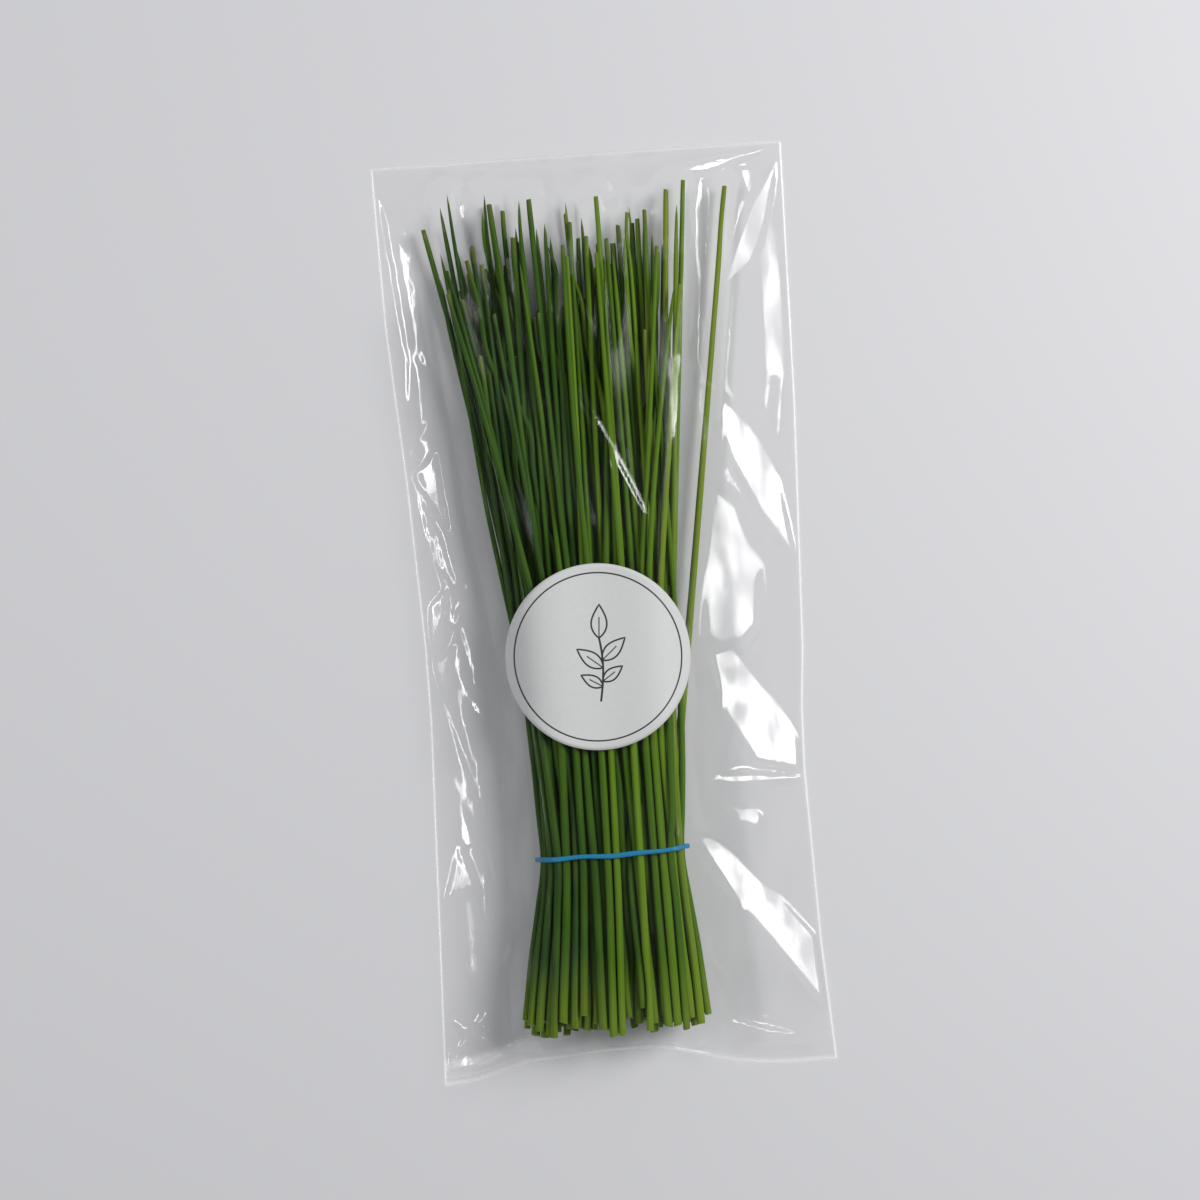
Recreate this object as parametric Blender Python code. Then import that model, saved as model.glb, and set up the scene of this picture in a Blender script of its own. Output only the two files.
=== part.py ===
"""A bunch of chives lying on its side in a clear film bag.

Long thin stems, cut square at the foot, are held at the waist by one rubber band and fan out
flat towards the tips. A flat film bag lies over them, open at the top, with a round paper label
on its front face. +Y runs from the cut feet to the tips, +Z is up, and the bag rests on z = 0.

Every stem here is one of the outer ones of the bunch, the ones that show from outside.
"""

import bmesh
import bpy
import numpy as np

MM = 0.001

# Bag: a flat pouch of clear film, open at +Y. The wall is thicker than real film.
BAG_HALF_LENGTH = 125.5
BAG_WALL = 0.3
BAG_SEAM = 2.6
BAG_COLUMNS = 23
BAG_ROWS = 33
BAG_SEAM_LIFT = 5.0
BAG_MOUTH = 3.0
BAG_CLEARANCE = 0.45
FILM_ROUNDS = 600

# Paper label on the bag's front film.
LABEL_RADIUS = 25.0
LABEL_THICKNESS = 0.25
LABEL_CENTRE = (-3.4, -11.1)
LABEL_GAP = 0.12

# Rubber band round the bunch.
BAND_Y = -64.2
BAND_WIDTH = 1.35
BAND_THICKNESS = 0.9
BAND_GAP = 0.34
BAND_SIDES = 64
BAND_TURN = 0.018

# Stems: how many there are, and where and how thick each may be.
STEM_COUNT = 57
OUTER_COUNT = 40
STEM_SIDES = 7
STEM_GAP = 0.2
STEM_FLOOR = 0.55
FOOT_RADIUS = (0.93, 1.24)
TIP_RATIO = (0.66, 0.88)
FOOT_Y = (-112.8, -106.5)
TIP_Y = (88.0, 117.5)
STATIONS = 20
RELAX_ROUNDS = 700
SEED = 3

# The bunch's outline: (Y, centre X, half width, height of the middle, half height).
OUTLINE = (
    (-118.0, -4.6, 24.6, 11.3, 10.4),
    (-104.0, -4.4, 24.0, 11.6, 10.6),
    (-90.0, -4.0, 23.0, 12.0, 10.9),
    (-64.2, -3.2, 19.6, 12.9, 11.2),
    (-36.0, -2.4, 21.3, 12.6, 11.2),
    (-10.0, -1.9, 23.6, 11.9, 10.7),
    (5.0, -2.3, 25.4, 11.2, 10.1),
    (50.0, -5.8, 33.4, 8.0, 7.1),
    (88.0, -7.4, 36.6, 6.0, 5.2),
    (119.0, -7.8, 38.0, 4.9, 4.1),
)

# The bag's outline seen from above: (Y, X) down each side, (X, Y) along the foot seam.
BAG_LEFT = (
    (-125.5, -53.2),
    (-74.0, -51.8),
    (-6.0, -50.4),
    (40.0, -52.6),
    (82.0, -55.1),
    (125.5, -56.0),
)
BAG_RIGHT = (
    (-125.5, 54.0),
    (-92.0, 52.1),
    (-46.0, 50.6),
    (-13.0, 52.4),
    (55.0, 55.0),
    (125.5, 56.0),
)
BAG_FOOT = (
    (-54.0, -125.5),
    (-45.0, -124.8),
    (-30.0, -121.2),
    (-10.0, -119.6),
    (6.0, -119.6),
    (18.0, -121.8),
    (28.0, -124.6),
    (40.0, -125.5),
    (55.0, -125.5),
)

# Stems that stray from the bunch: (station share from the waist, X at the tip, Z at the tip, tip Y).
STRAYS = (
    (0.96, 40.3, 4.6, 113.8),
    (0.70, -44.6, 4.4, 107.5),
)


def clear_scene():
    """Empties the scene and sets its units to metres."""
    for obj in list(bpy.data.objects):
        bpy.data.objects.remove(obj, do_unlink=True)
    bpy.context.scene.unit_settings.scale_length = 1.0


def smooth(t):
    """The smoothstep of t, held between 0 and 1."""
    t = np.clip(t, 0.0, 1.0)
    return t * t * (3.0 - 2.0 * t)


def outline(y):
    """Centre X, half width, middle height and half height of the bunch at each Y."""
    table = np.array(OUTLINE)
    return [np.interp(y, table[:, 0], table[:, k]) for k in (1, 2, 3, 4)]


def stem_seats(rng):
    """A seat (ring depth, angle) for each stem at the waist: an outer ring, then the second ring's top."""
    second = STEM_COUNT - OUTER_COUNT
    angle_1 = 2 * np.pi * (np.arange(OUTER_COUNT) + rng.uniform(-0.12, 0.12, OUTER_COUNT)) / OUTER_COUNT
    angle_2 = np.radians(np.linspace(-10, 190, second)) + rng.uniform(-0.03, 0.03, second)
    depth = np.concatenate([np.zeros(OUTER_COUNT), np.ones(second)])
    return depth, np.concatenate([angle_1, angle_2])


def stem_radii(rng, y):
    """Each stem's radius at every station: widest at the foot, thinner towards its tip."""
    foot = rng.uniform(*FOOT_RADIUS, STEM_COUNT)
    ratio = rng.uniform(*TIP_RATIO, STEM_COUNT)
    t = (y - y[0]) / (y[-1] - y[0])
    fall = smooth(t * 0.9 + 0.05)[None, :]
    return foot[:, None] * (1.0 - (1.0 - ratio[:, None]) * fall)


def spread_at_tips(rng, seat):
    """Where each stem ends up at the tips: side by side across the bunch, its layer kept."""
    spread = np.zeros_like(seat)
    groups = (np.arange(STEM_COUNT) >= OUTER_COUNT, seat[:, 1] >= 0, seat[:, 1] < 0)
    done = np.zeros(STEM_COUNT, bool)
    for group, layer in zip(groups, (0.35, 0.8, -0.8)):
        members = np.where(group & ~done)[0]
        done[members] = True
        order = np.argsort(np.argsort(seat[members, 0] + rng.normal(0, 0.11, len(members))))
        across = (order + 0.5 + rng.normal(0, 0.35, len(members))) / len(members) * 2 - 1
        across = np.clip(across * 1.03, -1, 1)
        spread[members, 0] = across
        spread[members, 1] = layer * np.sqrt(1.02 - across**2) + rng.normal(0, 0.12, len(members))
    return spread


def first_layout(rng, y, radii):
    """Starting centres of the stems at each station, before they are pushed apart."""
    centre, half_w, middle, half_h = outline(y)
    depth, angle = stem_seats(rng)
    inset = 1.0 - depth * 0.19
    seat = np.stack([np.cos(angle) * inset, np.sin(angle) * inset], axis=-1)
    tip = spread_at_tips(rng, seat)
    foot = seat + rng.normal(0, 0.08, seat.shape)
    up = smooth((y - BAND_Y) / (y[-1] - BAND_Y))[None, :, None]
    down = smooth((BAND_Y - y) / (BAND_Y - y[0]))[None, :, None]
    at = seat[:, None] + (tip - seat)[:, None] * up + (foot - seat)[:, None] * down
    room_x = half_w - radii - 0.15
    room_z = half_h - radii - 0.15
    share = np.clip((y - BAND_Y) / (y[-1] - BAND_Y), 0.0, 1.0)
    bow = rng.normal(0.0, 1.1, STEM_COUNT)[:, None] * np.sin(np.pi * share)
    bow = bow + rng.normal(0.0, 0.5, STEM_COUNT)[:, None] * np.sin(2 * np.pi * share)
    return np.stack([centre + room_x * at[..., 0] + bow, middle + room_z * at[..., 1]], axis=-1)


def set_strays(place, y):
    """Bends the strays' last stretch away from the bunch; returns them and where they are loose."""
    chosen = []
    loose = np.zeros(place.shape[:2], bool)
    for share, x, z, _ in STRAYS:
        side = np.sign(x)
        order = np.argsort(-side * place[:, -1, 0])
        pick = next(int(k) for k in order if int(k) not in chosen)
        start = y[-1] - share * (y[-1] - BAND_Y)
        t = np.clip((y - start) / (y[-1] - start), 0.0, 1.0)
        curve = t**1.7
        place[pick, :, 0] += curve * (x - place[pick, -1, 0])
        place[pick, :, 1] += smooth(t) * (z - place[pick, -1, 1])
        loose[pick] = t > 0.0
        chosen.append(pick)
    return chosen, loose


def push_apart(place, radii, pairs):
    """One round of pushing apart: each pair of stems, on each stretch, at its nearest approach."""
    first, second = pairs
    gap = place[second] - place[first]
    start, step = gap[:, :-1], gap[:, 1:] - gap[:, :-1]
    t = -(start * step).sum(-1) / np.maximum((step**2).sum(-1), 1e-9)
    t = np.clip(t, 0.0, 1.0)[..., None]
    nearest = start + t * step
    distance = np.maximum(np.linalg.norm(nearest, axis=-1, keepdims=True), 1e-6)
    reach = radii[first] + radii[second]
    reach = reach[:, :-1, None] * (1 - t) + reach[:, 1:, None] * t + STEM_GAP
    miss = np.clip(reach - distance, 0.0, None)
    push = 0.5 * miss * nearest / distance
    weight = np.maximum((1 - t) ** 2 + t**2, 0.5)
    move = np.zeros_like(place)
    for who, sign in ((second, 1.0), (first, -1.0)):
        np.add.at(move[:, :-1], who, sign * push * (1 - t) / weight)
        np.add.at(move[:, 1:], who, sign * push * t / weight)
    return move, float(miss.max())


def hold_in(place, radii, y, loose):
    """Keeps the stems inside the outline, but where they are loose, and above the floor."""
    centre, half_w, middle, half_h = outline(y)
    offset = place - np.stack([centre, middle], axis=-1)
    room = np.stack([half_w - radii - 0.1, half_h - radii - 0.1], axis=-1)
    out = np.linalg.norm(offset / room, axis=-1, keepdims=True)
    held = np.where(out > 1.0, offset / np.maximum(out, 1e-6), offset)
    soft = np.where(loose[..., None], offset, held)
    place[:] = np.stack([centre, middle], axis=-1) + soft
    place[..., 1] = np.maximum(place[..., 1], STEM_FLOOR + radii)


def relax(place, radii, y, loose):
    """Pushes the stems apart until none overlap, keeping each one smooth along its length."""
    pairs = np.triu_indices(STEM_COUNT, 1)
    worst = 0.0
    for step in range(RELAX_ROUNDS):
        move, worst = push_apart(place, radii, pairs)
        place += 0.7 * move
        if step < RELAX_ROUNDS * 0.8:
            bend = place[:, :-2] + place[:, 2:] - 2 * place[:, 1:-1]
            place[:, 1:-1] += 0.12 * bend
        hold_in(place, radii, y, loose)
    return worst


def stem_layout():
    """Centres and radii of the stems at the stations, and each stem's two end stations."""
    rng = np.random.default_rng(SEED)
    y = np.linspace(FOOT_Y[0] - 2.0, TIP_Y[1], STATIONS)
    near = int(np.argmin(abs(y - BAND_Y)))
    y[near] = BAND_Y
    radii = stem_radii(rng, y)
    place = first_layout(rng, y, radii)
    strays, loose = set_strays(place, y)
    worst = relax(place, radii, y, loose)
    print("stems still closer than the gap by", round(worst, 3), "mm")
    foot = rng.uniform(*FOOT_Y, STEM_COUNT)
    low = place[:, 0, 1] < outline(y[0])[2] - 2.0
    foot = np.where(low, np.maximum(foot, -111.0), foot)
    tip = TIP_Y[1] - (TIP_Y[1] - TIP_Y[0]) * rng.beta(1.7, 2.2, STEM_COUNT)
    for stray, number in zip(STRAYS, strays):
        tip[number] = stray[3]
    return y, place, radii, foot, tip


def stem_stations(y, foot, tip):
    """The Y of every ring of one stem: its two ends and the stations between them."""
    between = y[(y > foot + 2.5) & (y < tip - 2.5)]
    return np.concatenate([[foot], between, [tip]])


def new_mesh(name, points, faces, round_faces=True):
    """An object from points in millimetres and faces of any size, with its normals outward."""
    mesh = bpy.data.meshes.new(name)
    mesh.from_pydata([tuple(p * MM) for p in points], [], faces)
    shape = bmesh.new()
    shape.from_mesh(mesh)
    bmesh.ops.recalc_face_normals(shape, faces=shape.faces)
    shape.to_mesh(mesh)
    shape.free()
    mesh.polygons.foreach_set("use_smooth", [round_faces] * len(mesh.polygons))
    obj = bpy.data.objects.new(name, mesh)
    bpy.context.scene.collection.objects.link(obj)
    return obj


def material(name, colour, roughness, alpha=1.0):
    """A plain material of one colour."""
    made = bpy.data.materials.new(name)
    made.use_nodes = True
    shader = made.node_tree.nodes["Principled BSDF"]
    shader.inputs["Base Color"].default_value = (*colour, 1.0)
    shader.inputs["Roughness"].default_value = roughness
    shader.inputs["Metallic"].default_value = 0.0
    shader.inputs["Alpha"].default_value = alpha
    return made


def build_stem(number, ring_y, centre, radius):
    """One stem: a closed tube of rings, each in a plane of constant Y, flat at both ends."""
    count = len(ring_y)
    turn = np.linspace(0, 2 * np.pi, STEM_SIDES, endpoint=False) + number * 0.7
    circle = np.stack([np.cos(turn), np.zeros(STEM_SIDES), np.sin(turn)], axis=-1)
    spine = np.stack([centre[:, 0], ring_y, centre[:, 1]], axis=-1)
    points = (spine[:, None, :] + radius[:, None, None] * circle[None]).reshape(-1, 3)
    faces = [tuple(range(STEM_SIDES)), tuple(range((count - 1) * STEM_SIDES, count * STEM_SIDES))]
    for ring in range(count - 1):
        low, high = ring * STEM_SIDES, (ring + 1) * STEM_SIDES
        for side in range(STEM_SIDES):
            after = (side + 1) % STEM_SIDES
            faces.append((low + side, low + after, high + after, high + side))
    obj = new_mesh(f"stem_{number:02d}", points, faces)
    shade = 0.5 + 0.5 * np.sin(number * 2.4)
    colour = (0.035 + 0.05 * shade, 0.12 + 0.07 * shade, 0.012 + 0.01 * shade)
    obj.data.materials.append(material(f"stem_{number:02d}", colour, 0.45))


def sampled(y, values, ring_y):
    """A stem's station values read at its own rings."""
    if values.ndim == 1:
        return np.interp(ring_y, y, values)
    return np.stack([np.interp(ring_y, y, values[:, k]) for k in range(2)], axis=-1)


def band_spine(y, place, radii):
    """The band's centre line: the tightest loop round the stems where it crosses them."""
    angle = np.linspace(0, 2 * np.pi, 180, endpoint=False)
    way = np.stack([np.cos(angle), np.sin(angle)], axis=-1)
    at = np.array([sampled(y, place[k], np.array([BAND_Y]))[0] for k in range(STEM_COUNT)])
    size = np.array([np.interp(BAND_Y, y, radii[k]) for k in range(STEM_COUNT)])
    reach = (at @ way.T + size[:, None]).max(0) + BAND_GAP + BAND_THICKNESS / 2
    slope = (np.roll(reach, -1) - np.roll(reach, 1)) / (2 * (angle[1] - angle[0]))
    loop = reach[:, None] * way + slope[:, None] * np.stack([-way[:, 1], way[:, 0]], axis=-1)
    length = np.r_[0.0, np.cumsum(np.linalg.norm(np.roll(loop, -1, 0) - loop, axis=1))]
    even = np.linspace(0, length[-1], BAND_SIDES, endpoint=False)
    loop = np.vstack([loop, loop[:1]])
    x = np.interp(even, length, loop[:, 0])
    z = np.interp(even, length, loop[:, 1])
    return x, z


def build_band(y, place, radii):
    """The rubber band: a closed loop of flat section round the waist of the bunch."""
    x, z = band_spine(y, place, radii)
    spine = np.stack([x, BAND_Y + BAND_TURN * (x + 3.2), z], axis=-1)
    along = np.roll(spine, -1, 0) - np.roll(spine, 1, 0)
    along /= np.linalg.norm(along, axis=1, keepdims=True)
    out = np.cross(along, [0.0, 1.0, 0.0])
    out /= np.linalg.norm(out, axis=1, keepdims=True)
    middle = spine[:, [0, 2]].mean(0)
    facing = ((spine[:, [0, 2]] - middle) * out[:, [0, 2]]).sum(1)
    out *= np.sign(facing)[:, None]
    wide = np.array([0.0, 1.0, 0.0])
    corner = np.array([(-0.5, -0.3), (-0.3, -0.5), (0.3, -0.5), (0.5, -0.3), (0.5, 0.3), (0.3, 0.5)])
    corner = np.vstack([corner, [(-0.3, 0.5), (-0.5, 0.3)]])
    points = spine[:, None] + corner[None, :, :1] * BAND_WIDTH * wide
    points = points + corner[None, :, 1:] * BAND_THICKNESS * out[:, None]
    sides = len(corner)
    faces = []
    for ring in range(BAND_SIDES):
        low, high = ring * sides, (ring + 1) % BAND_SIDES * sides
        for side in range(sides):
            after = (side + 1) % sides
            faces.append((low + side, low + after, high + after, high + side))
    obj = new_mesh("rubber_band", points.reshape(-1, 3), faces)
    obj.data.materials.append(material("rubber_band", (0.01, 0.17, 0.40), 0.5))


def bag_grid():
    """X, Y of the film's grid seen from above, following the bag's outline."""
    side = BAG_SEAM / 108.0
    across = np.r_[0.0, np.linspace(side, 1.0 - side, BAG_COLUMNS - 2), 1.0]
    foot_rows = np.array([0.0, BAG_SEAM, 5.8, 9.0]) / 245.0
    up = np.r_[foot_rows, np.linspace(foot_rows[-1], 1.0, BAG_ROWS - 3)[1:]]
    left, right, foot = (np.array(t) for t in (BAG_LEFT, BAG_RIGHT, BAG_FOOT))
    x_foot = left[0, 1] + (right[0, 1] - left[0, 1]) * across
    y_foot = np.interp(x_foot, foot[:, 0], foot[:, 1])
    y = y_foot[None, :] + (BAG_HALF_LENGTH - y_foot)[None, :] * up[:, None]
    x_left = np.interp(y, left[:, 0], left[:, 1])
    x_right = np.interp(y, right[:, 0], right[:, 1])
    x = x_left + (x_right - x_left) * across[None, :]
    return x, y


def cover_at(layout, x, y):
    """Top of the stems and the band over each point of the floor, 0 where there is none."""
    stations, place, radii, foot, tip = layout
    cover = np.zeros(x.shape)
    for number in range(STEM_COUNT):
        along = np.clip(y, foot[number], tip[number])
        at_x = np.interp(along, stations, place[number, :, 0])
        at_z = np.interp(along, stations, place[number, :, 1])
        size = np.interp(along, stations, radii[number]) + 0.3
        room = size**2 - (x - at_x) ** 2
        inside = (room > 0) & (y > foot[number] - 0.5) & (y < tip[number] + 0.5)
        cover = np.maximum(cover, np.where(inside, at_z + np.sqrt(np.maximum(room, 0.0)), 0.0))
    band_x, band_z = band_spine(stations, place, radii)
    upper = band_z > band_z.mean()
    order = np.argsort(band_x[upper])
    inside = (x > band_x.min() - 0.8) & (x < band_x.max() + 0.8) & (abs(y - BAND_Y) < 2.0)
    height = np.interp(x, band_x[upper][order], band_z[upper][order]) + BAND_THICKNESS
    return np.maximum(cover, np.where(inside, height, 0.0))


def cell_samples(grid, share):
    """Values of a grid inside each cell, at the same spread of shares both ways."""
    u = share[None, None, None, :]
    v = share[None, None, :, None]
    a, b = grid[:-1, :-1, None, None], grid[:-1, 1:, None, None]
    d, c = grid[1:, :-1, None, None], grid[1:, 1:, None, None]
    return (a * (1 - u) + b * u) * (1 - v) + (d * (1 - u) + c * u) * v


def corner_weights(share):
    """Weights of a cell's corners at each sample, for both ways of cutting the cell in two."""
    u, v = np.meshgrid(share, share)
    zero = np.zeros_like(u)
    lower = np.where(u > v, np.stack([1 - u, u - v, v, zero]), np.stack([1 - v, zero, u, v - u]))
    near = np.stack([1 - u - v, u, zero, v])
    far = np.stack([zero, 1 - v, u + v - 1, 1 - u])
    upper = np.where(u + v < 1, near, far)
    return lower, upper


def stretch(height, under, low, mouth):
    """Draws the film taut over what is under it, from below, with its seams held down."""
    for _ in range(FILM_ROUNDS):
        mean = height.copy()
        mean[1:-1] = 0.25 * (height[:-2] + height[2:]) + 0.5 * height[1:-1]
        mean[:, 1:-1] = 0.5 * mean[:, 1:-1] + 0.25 * (height[:, :-2] + height[:, 2:])
        height = np.maximum(mean, under)
        height[:, :2], height[:, -2:], height[:2] = low[:, :2], low[:, -2:], low[:2]
        height[-1] = mouth
    return height


def settle(height, need, low, share):
    """Lowers the film a little wherever it is above its neighbours' mean and clear of the stems."""
    mean = height.copy()
    mean[1:-1] = 0.25 * (height[:-2] + height[2:]) + 0.5 * height[1:-1]
    mean[:, 1:-1] = 0.5 * mean[:, 1:-1] + 0.25 * (height[:, :-2] + height[:, 2:])
    drop = np.clip(height - np.maximum(mean, low), 0.0, None)
    corners = ((0, 0), (0, 1), (1, 1), (1, 0))
    rows, columns = need.shape[:2]
    for weights in corner_weights(share):
        film = np.zeros_like(need)
        for weight, (down, right) in zip(weights, corners):
            film += weight * height[down : down + rows, right : right + columns, None, None]
        slack = np.clip(film - need, 0.0, None)
        for weight, (down, right) in zip(weights, corners):
            room = np.where(weight > 1e-6, slack / np.maximum(weight, 1e-6), 1e9).min(axis=(2, 3))
            part = drop[down : down + rows, right : right + columns]
            part[:] = np.minimum(part, 0.25 * room)
    return height - drop


def film_heights(grid_x, grid_y, layout):
    """Height of the top film: a taut sheet held down at its seams and held up by the stems."""
    share = np.linspace(0.0, 1.0, 8)
    need = cover_at(layout, cell_samples(grid_x, share), cell_samples(grid_y, share))
    need = np.where(need > 0, need + BAG_WALL + BAG_CLEARANCE, 0.0)
    least = 2 * BAG_WALL + 0.02
    low = least + seam_lift(grid_x, grid_y)
    mouth = least + BAG_MOUTH * smooth(1.3 - 1.3 * abs(grid_x[-1]) / 50.0)
    height = low.copy()
    tallest = need.max(axis=(2, 3))
    rows, columns = tallest.shape
    for down, right in ((0, 0), (0, 1), (1, 1), (1, 0)):
        part = height[down : down + rows, right : right + columns]
        part[:] = np.maximum(part, tallest)
    height = stretch(height, height.copy(), low, mouth)
    for _ in range(FILM_ROUNDS):
        height[:, :2], height[:, -2:], height[:2] = low[:, :2], low[:, -2:], low[:2]
        height[-1] = mouth
        height = settle(height, need, low, share)
    return height


def seam_lift(grid_x, grid_y):
    """How far the foot seam and the film by it are lifted off the floor."""
    middle = smooth(1.0 - (abs(grid_x + 4.0) - 8.0) / 30.0)
    foot = np.array(BAG_FOOT)
    edge = np.interp(grid_x[0], foot[:, 0], foot[:, 1])
    near = smooth(1.0 - (grid_y - edge[None, :]) / 5.5)
    return BAG_SEAM_LIFT * middle * near


def bag_surfaces(layout):
    """Grid points of the outer top, outer bottom, inner top and inner bottom of the film."""
    x, y = bag_grid()
    top = film_heights(x, y, layout)
    lift = seam_lift(x, y)
    outer_top = np.stack([x, y, top], axis=-1)
    outer_low = np.stack([x, y, lift], axis=-1)
    inner_top = np.stack([x, y, top - BAG_WALL], axis=-1)
    inner_low = np.stack([x, y, lift + BAG_WALL], axis=-1)
    return outer_top, outer_low, inner_top, inner_low


def build_bag(surfaces):
    """The pouch: one thin closed wall, welded at both sides and the foot, open at the top."""
    outer_top, outer_low, inner_top, inner_low = surfaces
    rows, columns = outer_top.shape[:2]
    points = []
    index = []
    for part in surfaces:
        index.append(np.arange(rows * columns).reshape(rows, columns) + len(points) * rows * columns)
        points.append(part.reshape(-1, 3))
    points = np.concatenate(points)
    out_t, out_l, in_t, in_l = index
    weld = np.zeros((rows, columns), bool)
    weld[1, 1:-1] = weld[1:, 1] = weld[1:, -2] = True
    in_l = np.where(weld, in_t, in_l)
    points[in_t[weld]] = 0.5 * (inner_top[weld] + inner_low[weld])
    faces = []
    for row in range(rows - 1):
        for column in range(columns - 1):
            corners = ((row, column), (row, column + 1), (row + 1, column + 1), (row + 1, column))
            faces.append(tuple(int(out_t[c]) for c in corners))
            faces.append(tuple(int(out_l[c]) for c in corners[::-1]))
            if row and 0 < column < columns - 2:
                faces.append(tuple(int(in_t[c]) for c in corners[::-1]))
                faces.append(tuple(int(in_l[c]) for c in corners))
    for row in range(rows - 1):
        for column in (0, columns - 1):
            faces.append(tuple(int(k) for k in (out_t[row, column], out_t[row + 1, column], out_l[row + 1, column], out_l[row, column])))
    for column in range(columns - 1):
        faces.append(tuple(int(k) for k in (out_t[0, column], out_t[0, column + 1], out_l[0, column + 1], out_l[0, column])))
    last = rows - 1
    for column in range(1, columns - 2):
        faces.append(tuple(int(k) for k in (out_t[last, column], out_t[last, column + 1], in_t[last, column + 1], in_t[last, column])))
        faces.append(tuple(int(k) for k in (out_l[last, column], out_l[last, column + 1], in_l[last, column + 1], in_l[last, column])))
    for edge, next_in in ((0, 1), (columns - 1, columns - 2)):
        faces.append(tuple(int(k) for k in (out_t[last, edge], out_t[last, next_in], in_t[last, next_in])))
        faces.append(tuple(int(k) for k in (out_l[last, edge], out_l[last, next_in], in_l[last, next_in])))
        faces.append(tuple(int(k) for k in (out_t[last, edge], in_t[last, next_in], out_l[last, edge])))
    used = sorted({k for face in faces for k in face})
    renumber = {old: new for new, old in enumerate(used)}
    faces = [tuple(renumber[k] for k in face) for face in faces]
    obj = new_mesh("bag", points[used], faces)
    obj.data.materials.append(material("bag", (0.86, 0.89, 0.88), 0.12, 0.3))


def surface_height(x, y, surface):
    """Height of the film's grid surface at each point, its quads split along either diagonal."""
    grid_x, grid_y, grid_z = surface[..., 0], surface[..., 1], surface[..., 2]
    best = np.full(x.shape, -1.0)
    for row in range(grid_x.shape[0] - 1):
        for column in range(grid_x.shape[1] - 1):
            box_x = grid_x[row : row + 2, column : column + 2]
            box_y = grid_y[row : row + 2, column : column + 2]
            near = (x >= box_x.min() - 0.3) & (x <= box_x.max() + 0.3)
            near &= (y >= box_y.min() - 0.3) & (y <= box_y.max() + 0.3)
            if not near.any():
                continue
            u = np.clip((x - box_x.min()) / np.ptp(box_x), 0, 1)
            v = np.clip((y - box_y.min()) / np.ptp(box_y), 0, 1)
            a, b = grid_z[row, column], grid_z[row, column + 1]
            c, d = grid_z[row + 1, column + 1], grid_z[row + 1, column]
            one = np.where(u > v, a + (b - a) * u + (c - b) * v, a + (c - d) * u + (d - a) * v)
            two = np.where(u + v < 1, a + (b - a) * u + (d - a) * v, c + (d - c) * (1 - u) + (b - c) * (1 - v))
            best = np.where(near, np.maximum(best, np.maximum(one, two)), best)
    return best


def build_label(surface):
    """The label: a thin disc bent over the bunch, just clear of the film."""
    ring = np.linspace(0, 1, 9)[1:] * LABEL_RADIUS
    turn = np.linspace(0, 2 * np.pi, 48, endpoint=False)
    x = LABEL_CENTRE[0] + np.outer(ring, np.cos(turn))
    y = LABEL_CENTRE[1] + np.outer(ring, np.sin(turn))
    flat = np.stack([np.r_[LABEL_CENTRE[0], x.ravel()], np.r_[LABEL_CENTRE[1], y.ravel()]], axis=-1)
    dense = np.linspace(-LABEL_RADIUS, LABEL_RADIUS, 61)
    dense_x, dense_y = (g.ravel() for g in np.meshgrid(dense, dense))
    inside = np.hypot(dense_x, dense_y) <= LABEL_RADIUS + 0.5
    dense_x, dense_y = dense_x[inside], dense_y[inside]
    under = surface_height(dense_x + LABEL_CENTRE[0], dense_y + LABEL_CENTRE[1], surface)

    def terms(u, v):
        return np.stack([np.ones_like(u), u, v, u * u, u * v, v * v, u**3, u * u * v, u**4], axis=-1)

    scale = LABEL_RADIUS
    fit = np.linalg.lstsq(terms(dense_x / scale, dense_y / scale), under, rcond=None)[0]
    short = (under - terms(dense_x / scale, dense_y / scale) @ fit).max()
    low = terms((flat[:, 0] - LABEL_CENTRE[0]) / scale, (flat[:, 1] - LABEL_CENTRE[1]) / scale) @ fit
    low = low + short + LABEL_GAP
    print("label stands off the film by up to", round(float(short), 2), "mm more than its gap")
    count = len(flat)
    points = np.concatenate([np.c_[flat, low], np.c_[flat, low + LABEL_THICKNESS]])
    sides = len(turn)
    faces = []
    for side in range(sides):
        after = (side + 1) % sides
        faces.append((0, 1 + side, 1 + after))
        faces.append((count, count + 1 + after, count + 1 + side))
        for inner in range(len(ring) - 1):
            a, b = 1 + inner * sides, 1 + (inner + 1) * sides
            faces.append((a + side, b + side, b + after, a + after))
            faces.append((count + a + side, count + a + after, count + b + after, count + b + side))
        rim = 1 + (len(ring) - 1) * sides
        faces.append((rim + side, rim + after, count + rim + after, count + rim + side))
    obj = new_mesh("label", points, faces)
    obj.data.materials.append(material("label", (0.86, 0.86, 0.85), 0.7))


def main():
    """Builds the whole bunch in its bag."""
    clear_scene()
    layout = stem_layout()
    y, place, radii, foot, tip = layout
    for number in range(STEM_COUNT):
        ring_y = stem_stations(y, foot[number], tip[number])
        centre = sampled(y, place[number], ring_y)
        build_stem(number, ring_y, centre, sampled(y, radii[number], ring_y))
    build_band(y, place, radii)
    surfaces = bag_surfaces(layout)
    build_bag(surfaces)
    build_label(surfaces[0])


main()
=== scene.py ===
"""Looks of a bunch of chives in a clear film bag: stems, rubber band, film and label.

Every piece is a numpy surface: a profile carried along a path, or a height over a grid. Units in
the formulas are millimetres; points go into the meshes in metres.
"""

import math

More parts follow.
